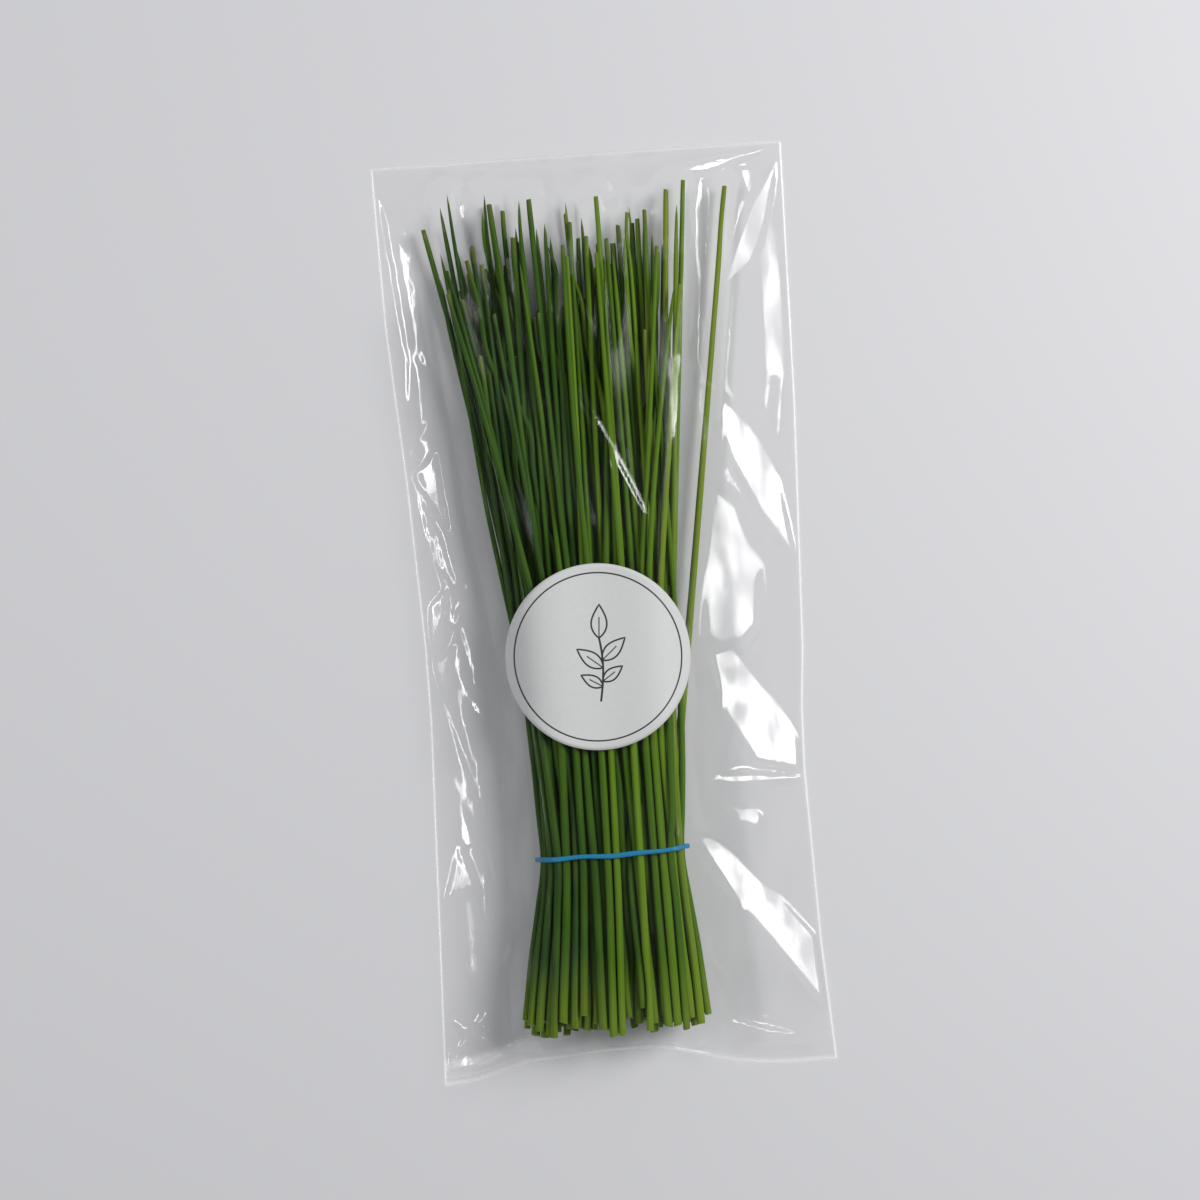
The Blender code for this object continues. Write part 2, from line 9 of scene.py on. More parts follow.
import bpy
import numpy as np
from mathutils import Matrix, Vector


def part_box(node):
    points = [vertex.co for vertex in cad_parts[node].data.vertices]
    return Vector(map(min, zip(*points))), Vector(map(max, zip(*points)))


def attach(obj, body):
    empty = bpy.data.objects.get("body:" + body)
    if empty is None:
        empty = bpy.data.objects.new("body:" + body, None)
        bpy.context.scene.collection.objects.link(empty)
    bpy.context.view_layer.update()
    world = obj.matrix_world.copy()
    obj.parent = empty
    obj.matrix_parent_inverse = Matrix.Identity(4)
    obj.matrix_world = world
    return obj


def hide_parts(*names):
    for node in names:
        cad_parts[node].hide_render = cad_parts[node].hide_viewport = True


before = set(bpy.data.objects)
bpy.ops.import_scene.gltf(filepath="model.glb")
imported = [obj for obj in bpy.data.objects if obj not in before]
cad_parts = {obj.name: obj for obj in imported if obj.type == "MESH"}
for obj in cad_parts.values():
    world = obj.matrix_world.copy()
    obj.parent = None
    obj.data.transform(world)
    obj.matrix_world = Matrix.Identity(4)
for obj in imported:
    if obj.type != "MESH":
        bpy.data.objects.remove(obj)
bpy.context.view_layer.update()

MM = 0.001
STATIONS = np.linspace(-114.8, 117.5, 22)
INNER_COUNT = 77
SIDE_COUNT = 13
STEM_SIDES = 14
STEM_STEP = 2.6
INNER_GAP = 0.06
SEAT_RINGS = ((1.0, 17, 197, 343), (2.0, 29, 0, 348), (3.0, 23, 5, 350), (3.85, 8, 0, 315))
BAG_HALF = 125.5
LABEL_RADIUS = 25.0
STEM_ROOM = 0.32
FILM_WALL = 0.05
FILM_GRID = (330, 150)


# ---------------------------------------------------------------- helpers


def smooth(t):
    """Smoothstep: 3t^2 - 2t^3 with t held between 0 and 1."""
    t = np.clip(t, 0.0, 1.0)
    return t * t * (3.0 - 2.0 * t)


def tube_faces(rings, sides, closed_loop=False):
    """Quads between neighbouring rings of a tube, ring after ring."""
    ring = np.arange(rings if closed_loop else rings - 1)[:, None]
    side = np.arange(sides)[None, :]
    after = (side + 1) % sides
    nxt = (ring + 1) % rings
    here, above = ring * sides, nxt * sides
    quads = np.stack([here + side, here + after, above + after, above + side], axis=-1)
    return quads.reshape(-1, 4)


def round_coords(angle, along):
    """Pattern coordinates of a tube: cosine and sine of the angle round it, and the place along it."""
    parts = np.broadcast_arrays(np.cos(angle)[None], np.sin(angle)[None], along[:, None])
    return np.stack(parts, axis=-1)


def make_piece(name, points_mm, faces, finish, smooth_shading=True, attributes=None):
    """A mesh object at the origin from points in millimetres and a list or array of faces."""
    mesh = bpy.data.meshes.new(name)
    points = np.asarray(points_mm, float) * MM
    if isinstance(faces, np.ndarray):
        faces = faces.tolist()
    mesh.from_pydata(points.tolist(), [], faces)
    mesh.polygons.foreach_set("use_smooth", [smooth_shading] * len(mesh.polygons))
    for key, values in (attributes or {}).items():
        values = np.asarray(values, np.float32)
        kind, field = ("FLOAT", "value") if values.ndim == 1 else ("FLOAT_VECTOR", "vector")
        mesh.attributes.new(key, kind, "POINT").data.foreach_set(field, values.ravel())
    mesh.materials.append(finish)
    obj = bpy.data.objects.new(name, mesh)
    bpy.context.scene.collection.objects.link(obj)
    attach(obj, "root")
    return obj


def read_stem(node):
    """Centre X, Z and radius of a solid stem at each of its rings, which lie in planes of one Y."""
    co = np.empty(len(node.data.vertices) * 3, np.float32)
    node.data.vertices.foreach_get("co", co)
    co = co.reshape(-1, 3).astype(float) / MM
    co = np.unique(np.round(co, 3), axis=0)
    order = np.argsort(co[:, 1])
    co = co[order]
    breaks = np.where(np.diff(co[:, 1]) > 0.5)[0] + 1
    rings = np.split(co, breaks)
    y = np.array([ring[:, 1].mean() for ring in rings])
    centre = np.array([ring[:, [0, 2]].mean(0) for ring in rings])
    radius = np.array([np.linalg.norm(ring[:, [0, 2]] - c, axis=1).mean() for ring, c in zip(rings, centre)])
    return y, centre, radius


def at_stations(y, values):
    """Values read at the shared stations, carried on in a straight line past either end."""
    inside = np.interp(STATIONS, y, values)
    low = values[0] + (values[1] - values[0]) / (y[1] - y[0]) * (STATIONS - y[0])
    high = values[-1] + (values[-2] - values[-1]) / (y[-2] - y[-1]) * (STATIONS - y[-1])
    return np.where(STATIONS < y[0], low, np.where(STATIONS > y[-1], high, inside))


# ---------------------------------------------------------------- the bunch


def seats(rng):
    """Ring depth and angle of each inner stem's seat, ring by ring towards the middle."""
    depth, angle = [], []
    for ring, count, low, high in SEAT_RINGS:
        depth += [ring] * count
        angle += list(np.radians(np.linspace(low, high, count)) + rng.uniform(-0.05, 0.05, count))
    return np.array(depth[:INNER_COUNT]), np.array(angle[:INNER_COUNT])


def grow_inner(rng, place, radii):
    """Inner stems: seats on nested ellipses in the bunch's section, pushed apart for a set number of rounds.

    The rounds end with some stems still overlapping; the worst is printed.
    Each pair of stems is pushed apart along the line between them at its nearest approach on each
    stretch between stations; outer stems stay where they are.
    """
    low, high = np.percentile(place, 3, axis=0), np.percentile(place, 97, axis=0)
    middle, half = 0.5 * (low + high), 0.5 * (high - low)
    depth, angle = seats(rng)
    seat = np.stack([np.cos(angle) * (1 - depth * 0.125), np.sin(angle) * (1 - depth * 0.225)], axis=-1)
    order = np.argsort(np.argsort(seat[:, 0] + rng.normal(0, 0.40, INNER_COUNT)))
    across = np.clip((order + 0.5 + rng.normal(0, 0.8, INNER_COUNT)) / INNER_COUNT * 2 - 1, -0.98, 0.98)
    tip = np.stack([across, rng.uniform(-1.0, 1.0, INNER_COUNT)], axis=-1)
    up = smooth((STATIONS + 64.0) / 180.0)[None, :, None]
    at = seat[:, None] * (1 - up) + tip[:, None] * up
    bow = rng.normal(0, 1.7, INNER_COUNT)[:, None] * np.sin(np.pi * np.clip((STATIONS + 64.0) / 180.0, 0, 1))
    inner = middle + half * at
    inner[..., 0] += bow
    foot = rng.uniform(0.93, 1.2, INNER_COUNT)
    ratio = rng.uniform(0.66, 0.88, INNER_COUNT)
    fall = smooth((STATIONS - STATIONS[0]) / (STATIONS[-1] - STATIONS[0]) * 0.9 + 0.05)[None, :]
    size = foot[:, None] * (1.0 - (1.0 - ratio[:, None]) * fall)
    every = np.concatenate([place, inner])
    size_all = np.concatenate([radii, size])
    fixed = len(place)
    first, second = np.triu_indices(len(every), 1)
    keep = second >= fixed
    first, second = first[keep], second[keep]
    loose = (first >= fixed)[:, None, None]
    for step in range(420):
        gap = every[second] - every[first]
        begin, change = gap[:, :-1], gap[:, 1:] - gap[:, :-1]
        t = np.clip(-(begin * change).sum(-1) / np.maximum((change**2).sum(-1), 1e-9), 0, 1)[..., None]
        nearest = begin + t * change
        distance = np.maximum(np.linalg.norm(nearest, axis=-1, keepdims=True), 1e-6)
        reach = size_all[first] + size_all[second]
        reach = reach[:, :-1, None] * (1 - t) + reach[:, 1:, None] * t + INNER_GAP
        push = np.clip(reach - distance, 0, None) * nearest / distance
        move = np.zeros_like(every)
        part = np.where(loose, 0.5, 1.0)
        np.add.at(move[:, :-1], second, part * push * (1 - t))
        np.add.at(move[:, 1:], second, part * push * t)
        np.add.at(move[:, :-1], first, -0.5 * loose * push * (1 - t))
        np.add.at(move[:, 1:], first, -0.5 * loose * push * t)
        inner = every[fixed:]
        inner += 0.6 * move[fixed:]
        if step < 360:
            inner[:, 1:-1] += 0.12 * (inner[:, :-2] + inner[:, 2:] - 2 * inner[:, 1:-1])
        inner[..., 1] = np.maximum(inner[..., 1], 0.4 + size)
    closest = round(float(np.clip(reach - distance, 0, None).max()), 3)
    print("inner stems still closer than the gap by", closest, "mm")
    return every[fixed:], size


def hermite(y, values, fine_y):
    """Cubic through the stations: each stretch is a Hermite cubic with slopes from its neighbours."""
    slope = np.gradient(values, y, axis=0)
    k = np.clip(np.searchsorted(y, fine_y) - 1, 0, len(y) - 2)
    h = (y[k + 1] - y[k])[:, None]
    t = ((fine_y - y[k]) / h[:, 0])[:, None]
    a, b = values[k], values[k + 1]
    return (
        a * (1 + 2 * t) * (1 - t) ** 2
        + b * t**2 * (3 - 2 * t)
        + h * slope[k] * t * (1 - t) ** 2
        - h * slope[k + 1] * t**2 * (1 - t)
    )


def stem_points(y, centre, radius, rng, pointed):
    """Surface of one stem: a ribbed, slightly oval profile carried along its cubic centre line.

    Going along the path: the bottom of the hollow foot, the hollow's wall, the cut rim, the outer
    skin, then the blunt rim and hollow of the tip, or a point. Radius at angle a is
    r (1 + oval cos 2a + ribs cos 11a); rings lie square to the centre line.
    """
    count = max(int((y[-1] - y[0]) / STEM_STEP), 20)
    run = np.linspace(y[0], y[-1], count)
    spine = hermite(y, centre, run)
    spread_out = smooth((-66.0 - run) / 50.0)
    spine[:, 0] += spread_out * (0.10 * (spine[:, 0] + 4.2) - 1.0)
    skin = np.interp(run, y, radius) * (1 - 0.22 * smooth((run + 60.0) / 170.0))
    phase = rng.uniform(0, 6.28, 4)
    skin = skin * (1 + 0.022 * np.sin(run * 0.11 + phase[0]) + 0.016 * np.sin(run * 0.31 + phase[1]))
    if pointed:
        left = (run[-1] - run) / rng.uniform(9.0, 16.0)
        skin = skin * np.clip(0.1 + 0.9 * np.sqrt(np.clip(left, 0, 1)), 0.08, 1)
    else:
        skin = skin * (1 - 0.12 * np.clip(1 - (run[-1] - run) / 4.0, 0, 1))
    wall = 0.66
    foot_y = run[0] + np.array([4.0, 4.0, 2.2, 0.15, 0.0, 0.0, 0.12])
    foot_r = skin[0] * np.array([0.02, wall * 0.9, wall * 0.95, wall, wall * 1.06, 0.94, 1.0])
    tip_y = run[-1] - np.array([0.1, 0.0, 0.0, 0.12, 1.8, 1.8])
    tip_r = skin[-1] * np.array([1.0, 0.93, wall * 1.05, wall, wall * 0.9, 0.02])
    if pointed:
        tip_y, tip_r = tip_y[:2] + np.array([0.0, 0.25]), tip_r[:2] * np.array([0.8, 0.1])
    along = np.concatenate([foot_y, run[1:-1], tip_y])
    size = np.concatenate([foot_r, skin[1:-1], tip_r])
    bare = np.concatenate([np.ones(6), np.zeros(count), np.ones(len(tip_y) - 1)])
    middle = np.stack([np.interp(along, run, spine[:, 0]), along, np.interp(along, run, spine[:, 1])], axis=-1)
    line = np.stack([spine[:, 0], run, spine[:, 1]], axis=-1)
    tangent = np.gradient(line, axis=0)
    tangent = np.stack([np.interp(along, run, tangent[:, k]) for k in range(3)], axis=-1)
    tangent /= np.linalg.norm(tangent, axis=1, keepdims=True)
    side = np.cross(tangent, [0.0, 0.0, 1.0])
    side /= np.linalg.norm(side, axis=1, keepdims=True)
    rise = np.cross(side, tangent)
    angle = np.linspace(0, 2 * np.pi, STEM_SIDES, endpoint=False)
    twist = phase[2] + along[:, None] * 0.006
    lobes = 1 + 0.045 * np.cos(2 * (angle[None] + twist)) + 0.018 * np.cos(5 * angle[None] + twist * 3)
    reach = size[:, None] * lobes
    points = middle[:, None] + reach[..., None] * (
        np.cos(angle)[None, :, None] * side[:, None] + np.sin(angle)[None, :, None] * rise[:, None]
    )
    slant = rng.uniform(-0.35, 0.35, 2)
    near_foot = np.clip(1 - (along - run[0]) / 4.5, 0, 1)[:, None]
    near_tip = np.clip(1 - (run[-1] - along) / 4.0, 0, 1)[:, None] * (0.0 if pointed else 1.0)
    shift = reach * np.cos(angle + phase[3])[None]
    points[..., 1] += shift * (slant[0] * near_foot + slant[1] * near_tip)
    grain = round_coords(angle, along * 0.05 + phase[0])
    return points, grain, np.repeat(bare[:, None], STEM_SIDES, 1)


def build_stem(name, y, centre, radius, tone_and_side_shade, seed, finish, pointed):
    """One stem as a piece, with as attributes its grain, its green level (random, plus painted shade that
    darkens stems towards the left of the bunch), place along the stem and bare cut faces.
    """
    rng = np.random.default_rng(seed)
    points, grain, bare = stem_points(y, centre, radius, rng, pointed)
    rings, sides = bare.shape
    faces = tube_faces(rings, sides)[:, ::-1].tolist()
    faces.append(list(range(sides)))
    faces.append(list(range(rings * sides - 1, (rings - 1) * sides - 1, -1)))
    share = (points[..., 1] - y[0]) / (y[-1] - y[0])
    attributes = {
        "grain": grain.reshape(-1, 3),
        "tone_and_side_shade": np.full(rings * sides, tone_and_side_shade),
        "share": share.ravel(),
        "bare": bare.ravel(),
    }
    return make_piece(name, points.reshape(-1, 3), faces, finish, attributes=attributes)


def band_loop(place, radii, y_band, clear):
    """Tightest loop round the stems at the band: for each direction the furthest reach of any stem."""
    angle = np.linspace(0, 2 * np.pi, 360, endpoint=False)
    way = np.stack([np.cos(angle), np.sin(angle)], axis=-1)
    near = np.array([[np.interp(y_band, STATIONS, p[:, k]) for k in range(2)] for p in place])
    size = np.array([np.interp(y_band, STATIONS, r) for r in radii])
    reach = (near @ way.T + size[:, None]).max(0) + clear
    slope = (np.roll(reach, -1) - np.roll(reach, 1)) / (2 * (angle[1] - angle[0]))
    loop = reach[:, None] * way + slope[:, None] * np.stack([-way[:, 1], way[:, 0]], axis=-1)
    length = np.r_[0.0, np.cumsum(np.linalg.norm(np.roll(loop, -1, 0) - loop, axis=1))]
    even = np.linspace(0, length[-1], 220, endpoint=False)
    loop = np.vstack([loop, loop[:1]])
    return np.interp(even, length, loop[:, 0]), np.interp(even, length, loop[:, 1])


def build_band(place, radii, y_band, finish):
    """Rubber band: a rounded flat section carried round the loop, wandering a little in Y and width."""
    x, z = band_loop(place, radii, y_band, 0.5)
    turn = np.linspace(0, 2 * np.pi, len(x), endpoint=False)
    sway = 0.22 * np.sin(3 * turn + 0.8) + 0.12 * np.sin(7 * turn) + 0.018 * (x + 3.2)
    spine = np.stack([x, y_band + sway, z], axis=-1)
    along = np.roll(spine, -1, 0) - np.roll(spine, 1, 0)
    along /= np.linalg.norm(along, axis=1, keepdims=True)
    out = np.cross(along, [0.0, 1.0, 0.0])
    out /= np.linalg.norm(out, axis=1, keepdims=True)
    out *= np.sign(((spine - spine.mean(0)) * out).sum(1))[:, None]
    wide = np.cross(out, along)
    angle = np.linspace(0, 2 * np.pi, 16, endpoint=False)
    circle = np.stack([np.cos(angle), np.sin(angle)])
    squared = np.abs(circle) ** 0.55 * np.sign(circle)
    width = (0.64 * (1 + 0.08 * np.sin(5 * turn + 1)))[:, None, None]
    points = spine[:, None] + squared[0][None, :, None] * width * wide[:, None]
    points = points + squared[1][None, :, None] * 0.42 * out[:, None]
    length = np.cumsum(np.linalg.norm(np.roll(spine, -1, 0) - spine, axis=1))
    coords = round_coords(angle, length * 0.1)
    faces = tube_faces(len(x), 16, closed_loop=True)
    attributes = {"grain": coords.reshape(-1, 3)}
    obj = make_piece("band", points.reshape(-1, 3), faces, finish, attributes=attributes)
    face_out(obj)
    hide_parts("rubber_band")
    return obj


def face_out(obj):
    """Turns every face of a closed piece outwards: flips all if its signed volume is negative."""
    mesh = obj.data
    mesh.calc_loop_triangles()
    co = np.empty(len(mesh.vertices) * 3)
    mesh.vertices.foreach_get("co", co)
    tri = np.empty(len(mesh.loop_triangles) * 3, np.int32)
    mesh.loop_triangles.foreach_get("vertices", tri)
    if np.linalg.det(co.reshape(-1, 3)[tri.reshape(-1, 3)]).sum() < 0:
        mesh.flip_normals()


def side_leaf(rng, stems, share):
    """A leaf lying over the bunch: a slanting bowed path resting on the widened, smoothed top of it all.

    It starts under the label and ends among the tips; its centre height is the mean, over five
    points, of the largest height at which its circle would touch a stem below.
    """
    start, tip = rng.uniform(-16.0, 2.0), rng.uniform(74.0, 108.0)
    y = np.linspace(start, tip, 34)
    t = (y - start) / (tip - start)
    x_start = -3.4 + 17.5 * share + rng.normal(0, 0.15)
    x_tip = -4.0 + 34.0 * np.clip(share + rng.normal(0, 0.20), -0.97, 0.97)
    x = x_start + (x_tip - x_start) * t**1.15 + rng.normal(0, 0.8) * np.sin(np.pi * t)
    radius = 0.98 - 0.28 * t
    top = cover_at(x[None], y[None], stems, 1.15)[0]
    reach = np.arange(-2, 3)
    near = np.clip(np.arange(34)[:, None] + reach, 0, 33)
    top = np.maximum(top, 5.0 - 2.0 * t)
    top = top[near].max(axis=1)
    top = top[near].mean(axis=1)
    return y, np.stack([x, top + radius - 0.95], axis=-1), radius


# ---------------------------------------------------------------- the film

FILM_LEFT = (
    (-125.5, -53.2), (-74.0, -51.6), (-26.0, -50.2), (-6.0, -50.3), (40.0, -52.3),
    (82.0, -55.1), (125.5, -56.0),
)
FILM_RIGHT = (
    (-125.5, 54.0), (-92.0, 52.0), (-46.0, 50.8), (-28.0, 51.3), (-13.0, 52.6),
    (55.0, 55.0), (125.5, 56.0),
)
FILM_FOOT = (
    (-54.0, -125.5), (-45.0, -124.9), (-30.0, -120.4), (-10.0, -118.3), (6.0, -118.2),
    (18.0, -121.4), (28.0, -124.4), (40.0, -125.5), (55.0, -125.3),
)

KEY_LAMP = (800.0, 300.0, 800.0)
SIDE_LAMP = (-800.0, 120.0, 800.0)
QUIET = None
EYE = (-1.8, 4.0, 1000.0)

# Flat facets of the top film: corners going round anticlockwise, the lamp that each one mirrors, how far
# it is pulled flat, and the width of its rounded edge.
FACETS = (
    (
        (
            (28.5, 110.0), (29.0, 68.0), (34.0, 61.0), (48.0, 48.0),
            (50.5, 62.0), (51.0, 100.0), (44.0, 112.0),
        ),
        QUIET, 0.8, 7.0,
    ),
    (((25.3, 117.0), (36.0, 117.6), (54.0, 124.0), (38.0, 122.2), (28.0, 119.6)), KEY_LAMP, 0.85, 0.9),
    (
        (
            (55.2, 122.0), (46.6, 109.9), (40.5, 96.4), (35.1, 82.6),
            (46.2, 92.4), (50.9, 103.9),
        ),
        KEY_LAMP, 0.95, 1.2,
    ),
    (
        (
            (35.3, 57.4), (33.5, 54.3), (35.7, 40.7), (43.1, 24.1),
            (52.2, 10.4), (49.4, 32.9), (44.4, 42.7), (38.6, 53.9),
        ),
        KEY_LAMP, 1.0, 1.2,
    ),
    (
        (
            (30.5, 34.0), (26.5, 10.0), (25.5, -8.0), (33.0, -14.0),
            (41.0, -6.0), (42.0, 10.0), (38.0, 28.0),
        ),
        KEY_LAMP, 0.95, 3.4,
    ),
    (
        (
            (27.0, -12.0), (30.0, -30.0), (37.0, -43.0), (50.3, -46.4),
            (50.0, -38.0), (43.9, -26.5), (34.0, -10.0),
        ),
        KEY_LAMP, 1.0, 1.8,
    ),
    (((23.0, -45.8), (30.0, -48.6), (49.3, -48.9), (49.3, -47.2), (33.0, -45.0)), KEY_LAMP, 1.0, 0.8),
    (((27.9, -53.0), (32.1, -58.2), (36.8, -61.5), (37.9, -57.8), (33.8, -54.5)), KEY_LAMP, 1.0, 0.9),
    (
        (
            (18.3, -60.7), (29.0, -79.5), (41.7, -97.3), (51.4, -110.9),
            (52.2, -96.0), (51.8, -92.9), (30.0, -65.7), (24.8, -61.5),
        ),
        KEY_LAMP, 1.0, 1.3,
    ),
    (((-55.0, 121.0), (-49.2, 76.7), (-43.5, 70.0), (-44.9, 98.3)), SIDE_LAMP, 0.9, 1.8),
    (((-50.5, 41.3), (-41.8, 25.4), (-43.8, 47.4)), SIDE_LAMP, 0.95, 0.9),
    (((-43.4, 9.9), (-48.6, 5.6), (-49.1, -8.8), (-43.9, 2.3)), SIDE_LAMP, 0.9, 1.2),
    (((-42.6, -6.2), (-48.6, -9.6), (-46.1, -19.4)), SIDE_LAMP, 0.95, 0.9),
    (((-45.3, -58.5), (-49.6, -74.8), (-40.5, -71.7)), SIDE_LAMP, 0.75, 1.8),
    (((-30.0, -84.0), (-34.6, -91.0), (-33.4, -91.6), (-29.0, -85.0)), SIDE_LAMP, 0.8, 0.8),
    (((-53.2, -116.5), (-52.3, -121.5), (-40.0, -119.8), (-46.0, -115.5)), SIDE_LAMP, 0.9, 0.8),
    (((-50.5, -106.5), (-47.0, -111.5), (-36.0, -116.5), (-42.0, -110.0)), SIDE_LAMP, 0.8, 0.8),
    (((24.0, -112.6), (36.0, -117.4), (47.0, -119.0), (36.0, -115.2), (25.0, -111.2)), KEY_LAMP, 0.9, 0.8),
)

# Ridges of the top film: start, end, width to the left and right of the line, height.
CREASES = (
    ((-55.2, 121.9), (-51.7, 97.0), 2.4, 1.0, 0.45),
    ((-52.0, 99.0), (-49.0, 73.0), 2.4, 1.0, 0.45),
    ((-49.0, 76.0), (-50.5, 39.5), 2.4, 1.0, 0.45),
    ((-50.6, 43.0), (-46.8, 23.6), 2.4, 1.0, 0.45),
    ((-46.9, 26.6), (-43.2, 8.9), 2.2, 1.0, 0.42),
    ((-42.6, 28.4), (-37.4, 3.8), 2.2, 0.9, 0.42),
    ((-37.9, 5.8), (-35.4, -0.6), 2.0, 0.9, 0.4),
    ((-46.3, -18.4), (-39.6, -43.5), 2.2, 1.0, 0.42),
    ((-40.1, -40.5), (-36.7, -59.0), 2.2, 0.9, 0.42),
    ((-37.2, -56.0), (-34.3, -73.1), 2.2, 0.9, 0.4),
    ((-44.9, -60.0), (-40.4, -72.0), 2.0, 0.9, 0.4),
    ((-49.0, -75.5), (-41.0, -73.0), 1.6, 1.0, 0.4),
    ((-3.8, 60.9), (4.5, 43.0), 1.1, 2.3, 0.9),
    ((3.5, 44.0), (12.0, 25.0), 1.1, 2.3, 0.9),
    ((23.0, 64.0), (22.0, 20.0), 1.0, 1.0, 0.36),
    ((22.0, 22.0), (21.0, -26.0), 1.0, 1.0, 0.36),
    ((-52.0, -119.5), (-40.0, -106.0), 1.8, 1.6, 0.8),
    ((-47.0, -123.0), (-22.0, -112.0), 1.2, 1.4, 0.8),
    ((-50.0, -113.0), (-33.0, -116.0), 1.2, 1.2, 0.6),
    ((-51.0, -117.0), (-31.0, -118.5), 1.0, 1.0, 0.5),
    ((-38.0, -119.0), (-24.0, -108.0), 1.4, 1.4, 0.6),
    ((22.3, -108.0), (40.0, -114.5), 0.8, 1.0, 0.5),
    ((20.0, -113.0), (48.0, -122.5), 1.4, 1.4, 0.6),
    ((30.0, -120.5), (52.0, -120.0), 1.2, 1.4, 0.5),
)


# Lines along which the film over the bunch still shines: start, end and half width.
GLINTS = (
    ((-3.8, 60.9), (4.5, 43.0), 1.6),
    ((3.5, 44.0), (12.0, 25.0), 1.6),
    ((23.5, 66.0), (22.5, 20.0), 2.2),
    ((22.5, 20.0), (21.5, -26.0), 2.2),
    ((-24.0, 84.0), (-14.0, 52.0), 4.0),
    ((16.5, 108.0), (18.5, 92.0), 2.0),
)


def film_grid(columns, rows):
    """Plan of the film: columns spread between the side edges, rows between the foot seam and the mouth."""
    left, right, foot = (np.array(t) for t in (FILM_LEFT, FILM_RIGHT, FILM_FOOT))
    across = np.linspace(0, 1, columns - 4)
    across = np.r_[0, 0.002, 0.0045, across[1:-1], 0.9955, 0.998, 1]
    up = np.linspace(0, 1, rows)
    x_foot = left[0, 1] + (right[0, 1] - left[0, 1]) * across
    y_foot = np.interp(x_foot, foot[:, 0], foot[:, 1])
    y_foot = np.convolve(np.pad(y_foot, 6, mode="edge"), np.ones(13) / 13, mode="valid")
    y = y_foot[None] + (BAG_HALF - y_foot)[None] * up[:, None]
    x_left, x_right = np.interp(y, left[:, 0], left[:, 1]), np.interp(y, right[:, 0], right[:, 1])
    x = x_left + (x_right - x_left) * across[None]
    edge = np.minimum(x - x_left, x_right - x)
    return x, y, edge, y - y_foot[None]


def cover_at(x, y, stems, grow):
    """Height of the top of the stems over each point: centre height plus the half chord of its circle.

    It reads the centre lines before their feet are fanned out, so it misses the fanned feet.
    """
    cover = np.zeros(x.shape)
    for sy, centre, radius in stems:
        run = np.clip(y, sy[0], sy[-1])
        size = np.interp(run, sy, radius) + grow
        room = size**2 - (x - np.interp(run, sy, centre[:, 0])) ** 2
        inside = (room > 0) & (y > sy[0] - 0.4) & (y < sy[-1] + 0.4)
        top = np.interp(run, sy, centre[:, 1]) + np.sqrt(np.maximum(room, 0))
        cover = np.maximum(cover, np.where(inside, top, 0))
    return cover


def foot_lift(x, above):
    """Lift of the foot seam: a smooth hump in the middle that fades 7 mm up from the seam."""
    return 5.2 * smooth(1 - (abs(x + 4.0) - 8.0) / 30.0) * smooth(1 - above / 7.0)


def relax_film(height, under, hold, held, rounds):
    """Draws the film taut: each point moves to the mean of its neighbours but stays above what is under it."""
    for _ in range(rounds):
        mean = height.copy()
        mean[1:-1] = 0.25 * (height[:-2] + height[2:]) + 0.5 * height[1:-1]
        mean[:, 1:-1] = 0.5 * mean[:, 1:-1] + 0.25 * (height[:, :-2] + height[:, 2:])
        height = np.where(hold, held, np.maximum(mean, under))
    return height


def resample(values, rows, columns):
    """A grid read at another number of rows and columns, straight between its points."""
    r = np.linspace(0, values.shape[0] - 1, rows)
    c = np.linspace(0, values.shape[1] - 1, columns)
    wide = np.stack([np.interp(c, np.arange(values.shape[1]), row) for row in values])
    return np.stack([np.interp(r, np.arange(values.shape[0]), wide[:, k]) for k in range(columns)], axis=1)


def widest(values, rows, columns):
    """Largest value within some rows and columns of each grid point."""
    out = values.copy()
    for _ in range(rows):
        out[1:] = np.maximum(out[1:], out[:-1])
        out[:-1] = np.maximum(out[:-1], out[1:])
    for _ in range(columns):
        out[:, 1:] = np.maximum(out[:, 1:], out[:, :-1])
        out[:, :-1] = np.maximum(out[:, :-1], out[:, 1:])
    return out


def blurred(values, rows, columns):
    """Mean of each grid point with its neighbours, again and again along rows and columns."""
    out = values.copy()
    for _ in range(rows):
        out[1:-1] = 0.25 * (out[:-2] + out[2:]) + 0.5 * out[1:-1]
    for _ in range(columns):
        out[:, 1:-1] = 0.25 * (out[:, :-2] + out[:, 2:]) + 0.5 * out[:, 1:-1]
    return out


def crease_field(x, y, creases):
    """Sum of folds: each is a tent across its line, steeper on its narrow side, dying away at its ends."""
    total = np.zeros(x.shape)
    for (ax, ay), (bx, by), near, far, height in creases:
        dx, dy = bx - ax, by - ay
        length = math.hypot(dx, dy)
        t = ((x - ax) * dx + (y - ay) * dy) / length**2
        d = ((x - ax) * dy - (y - ay) * dx) / length
        ends = np.clip(1.25 - 1.25 * np.abs(2 * t - 1) ** 3, 0, 1)
        tent = np.clip(1 - np.where(d < 0, -d / near, d / far), 0, 1)
        total += height * tent * ends
    return total


def mirror_slope(x, y, lamp):
    """Slopes dz/dx and dz/dy of film that mirrors a lamp to the eye: normal to the mean of the two unit ways.

    A quiet facet slopes gently down towards the bag's near side instead.
    """
    if lamp is QUIET:
        return (-0.10 if x > 0 else 0.10), 0.0
    here = np.array([x, y, 8.0])
    to_lamp, to_eye = np.array(lamp) - here, np.array(EYE) - here
    half = to_lamp / np.linalg.norm(to_lamp) + to_eye / np.linalg.norm(to_eye)
    return -half[0] / half[2], -half[1] / half[2]


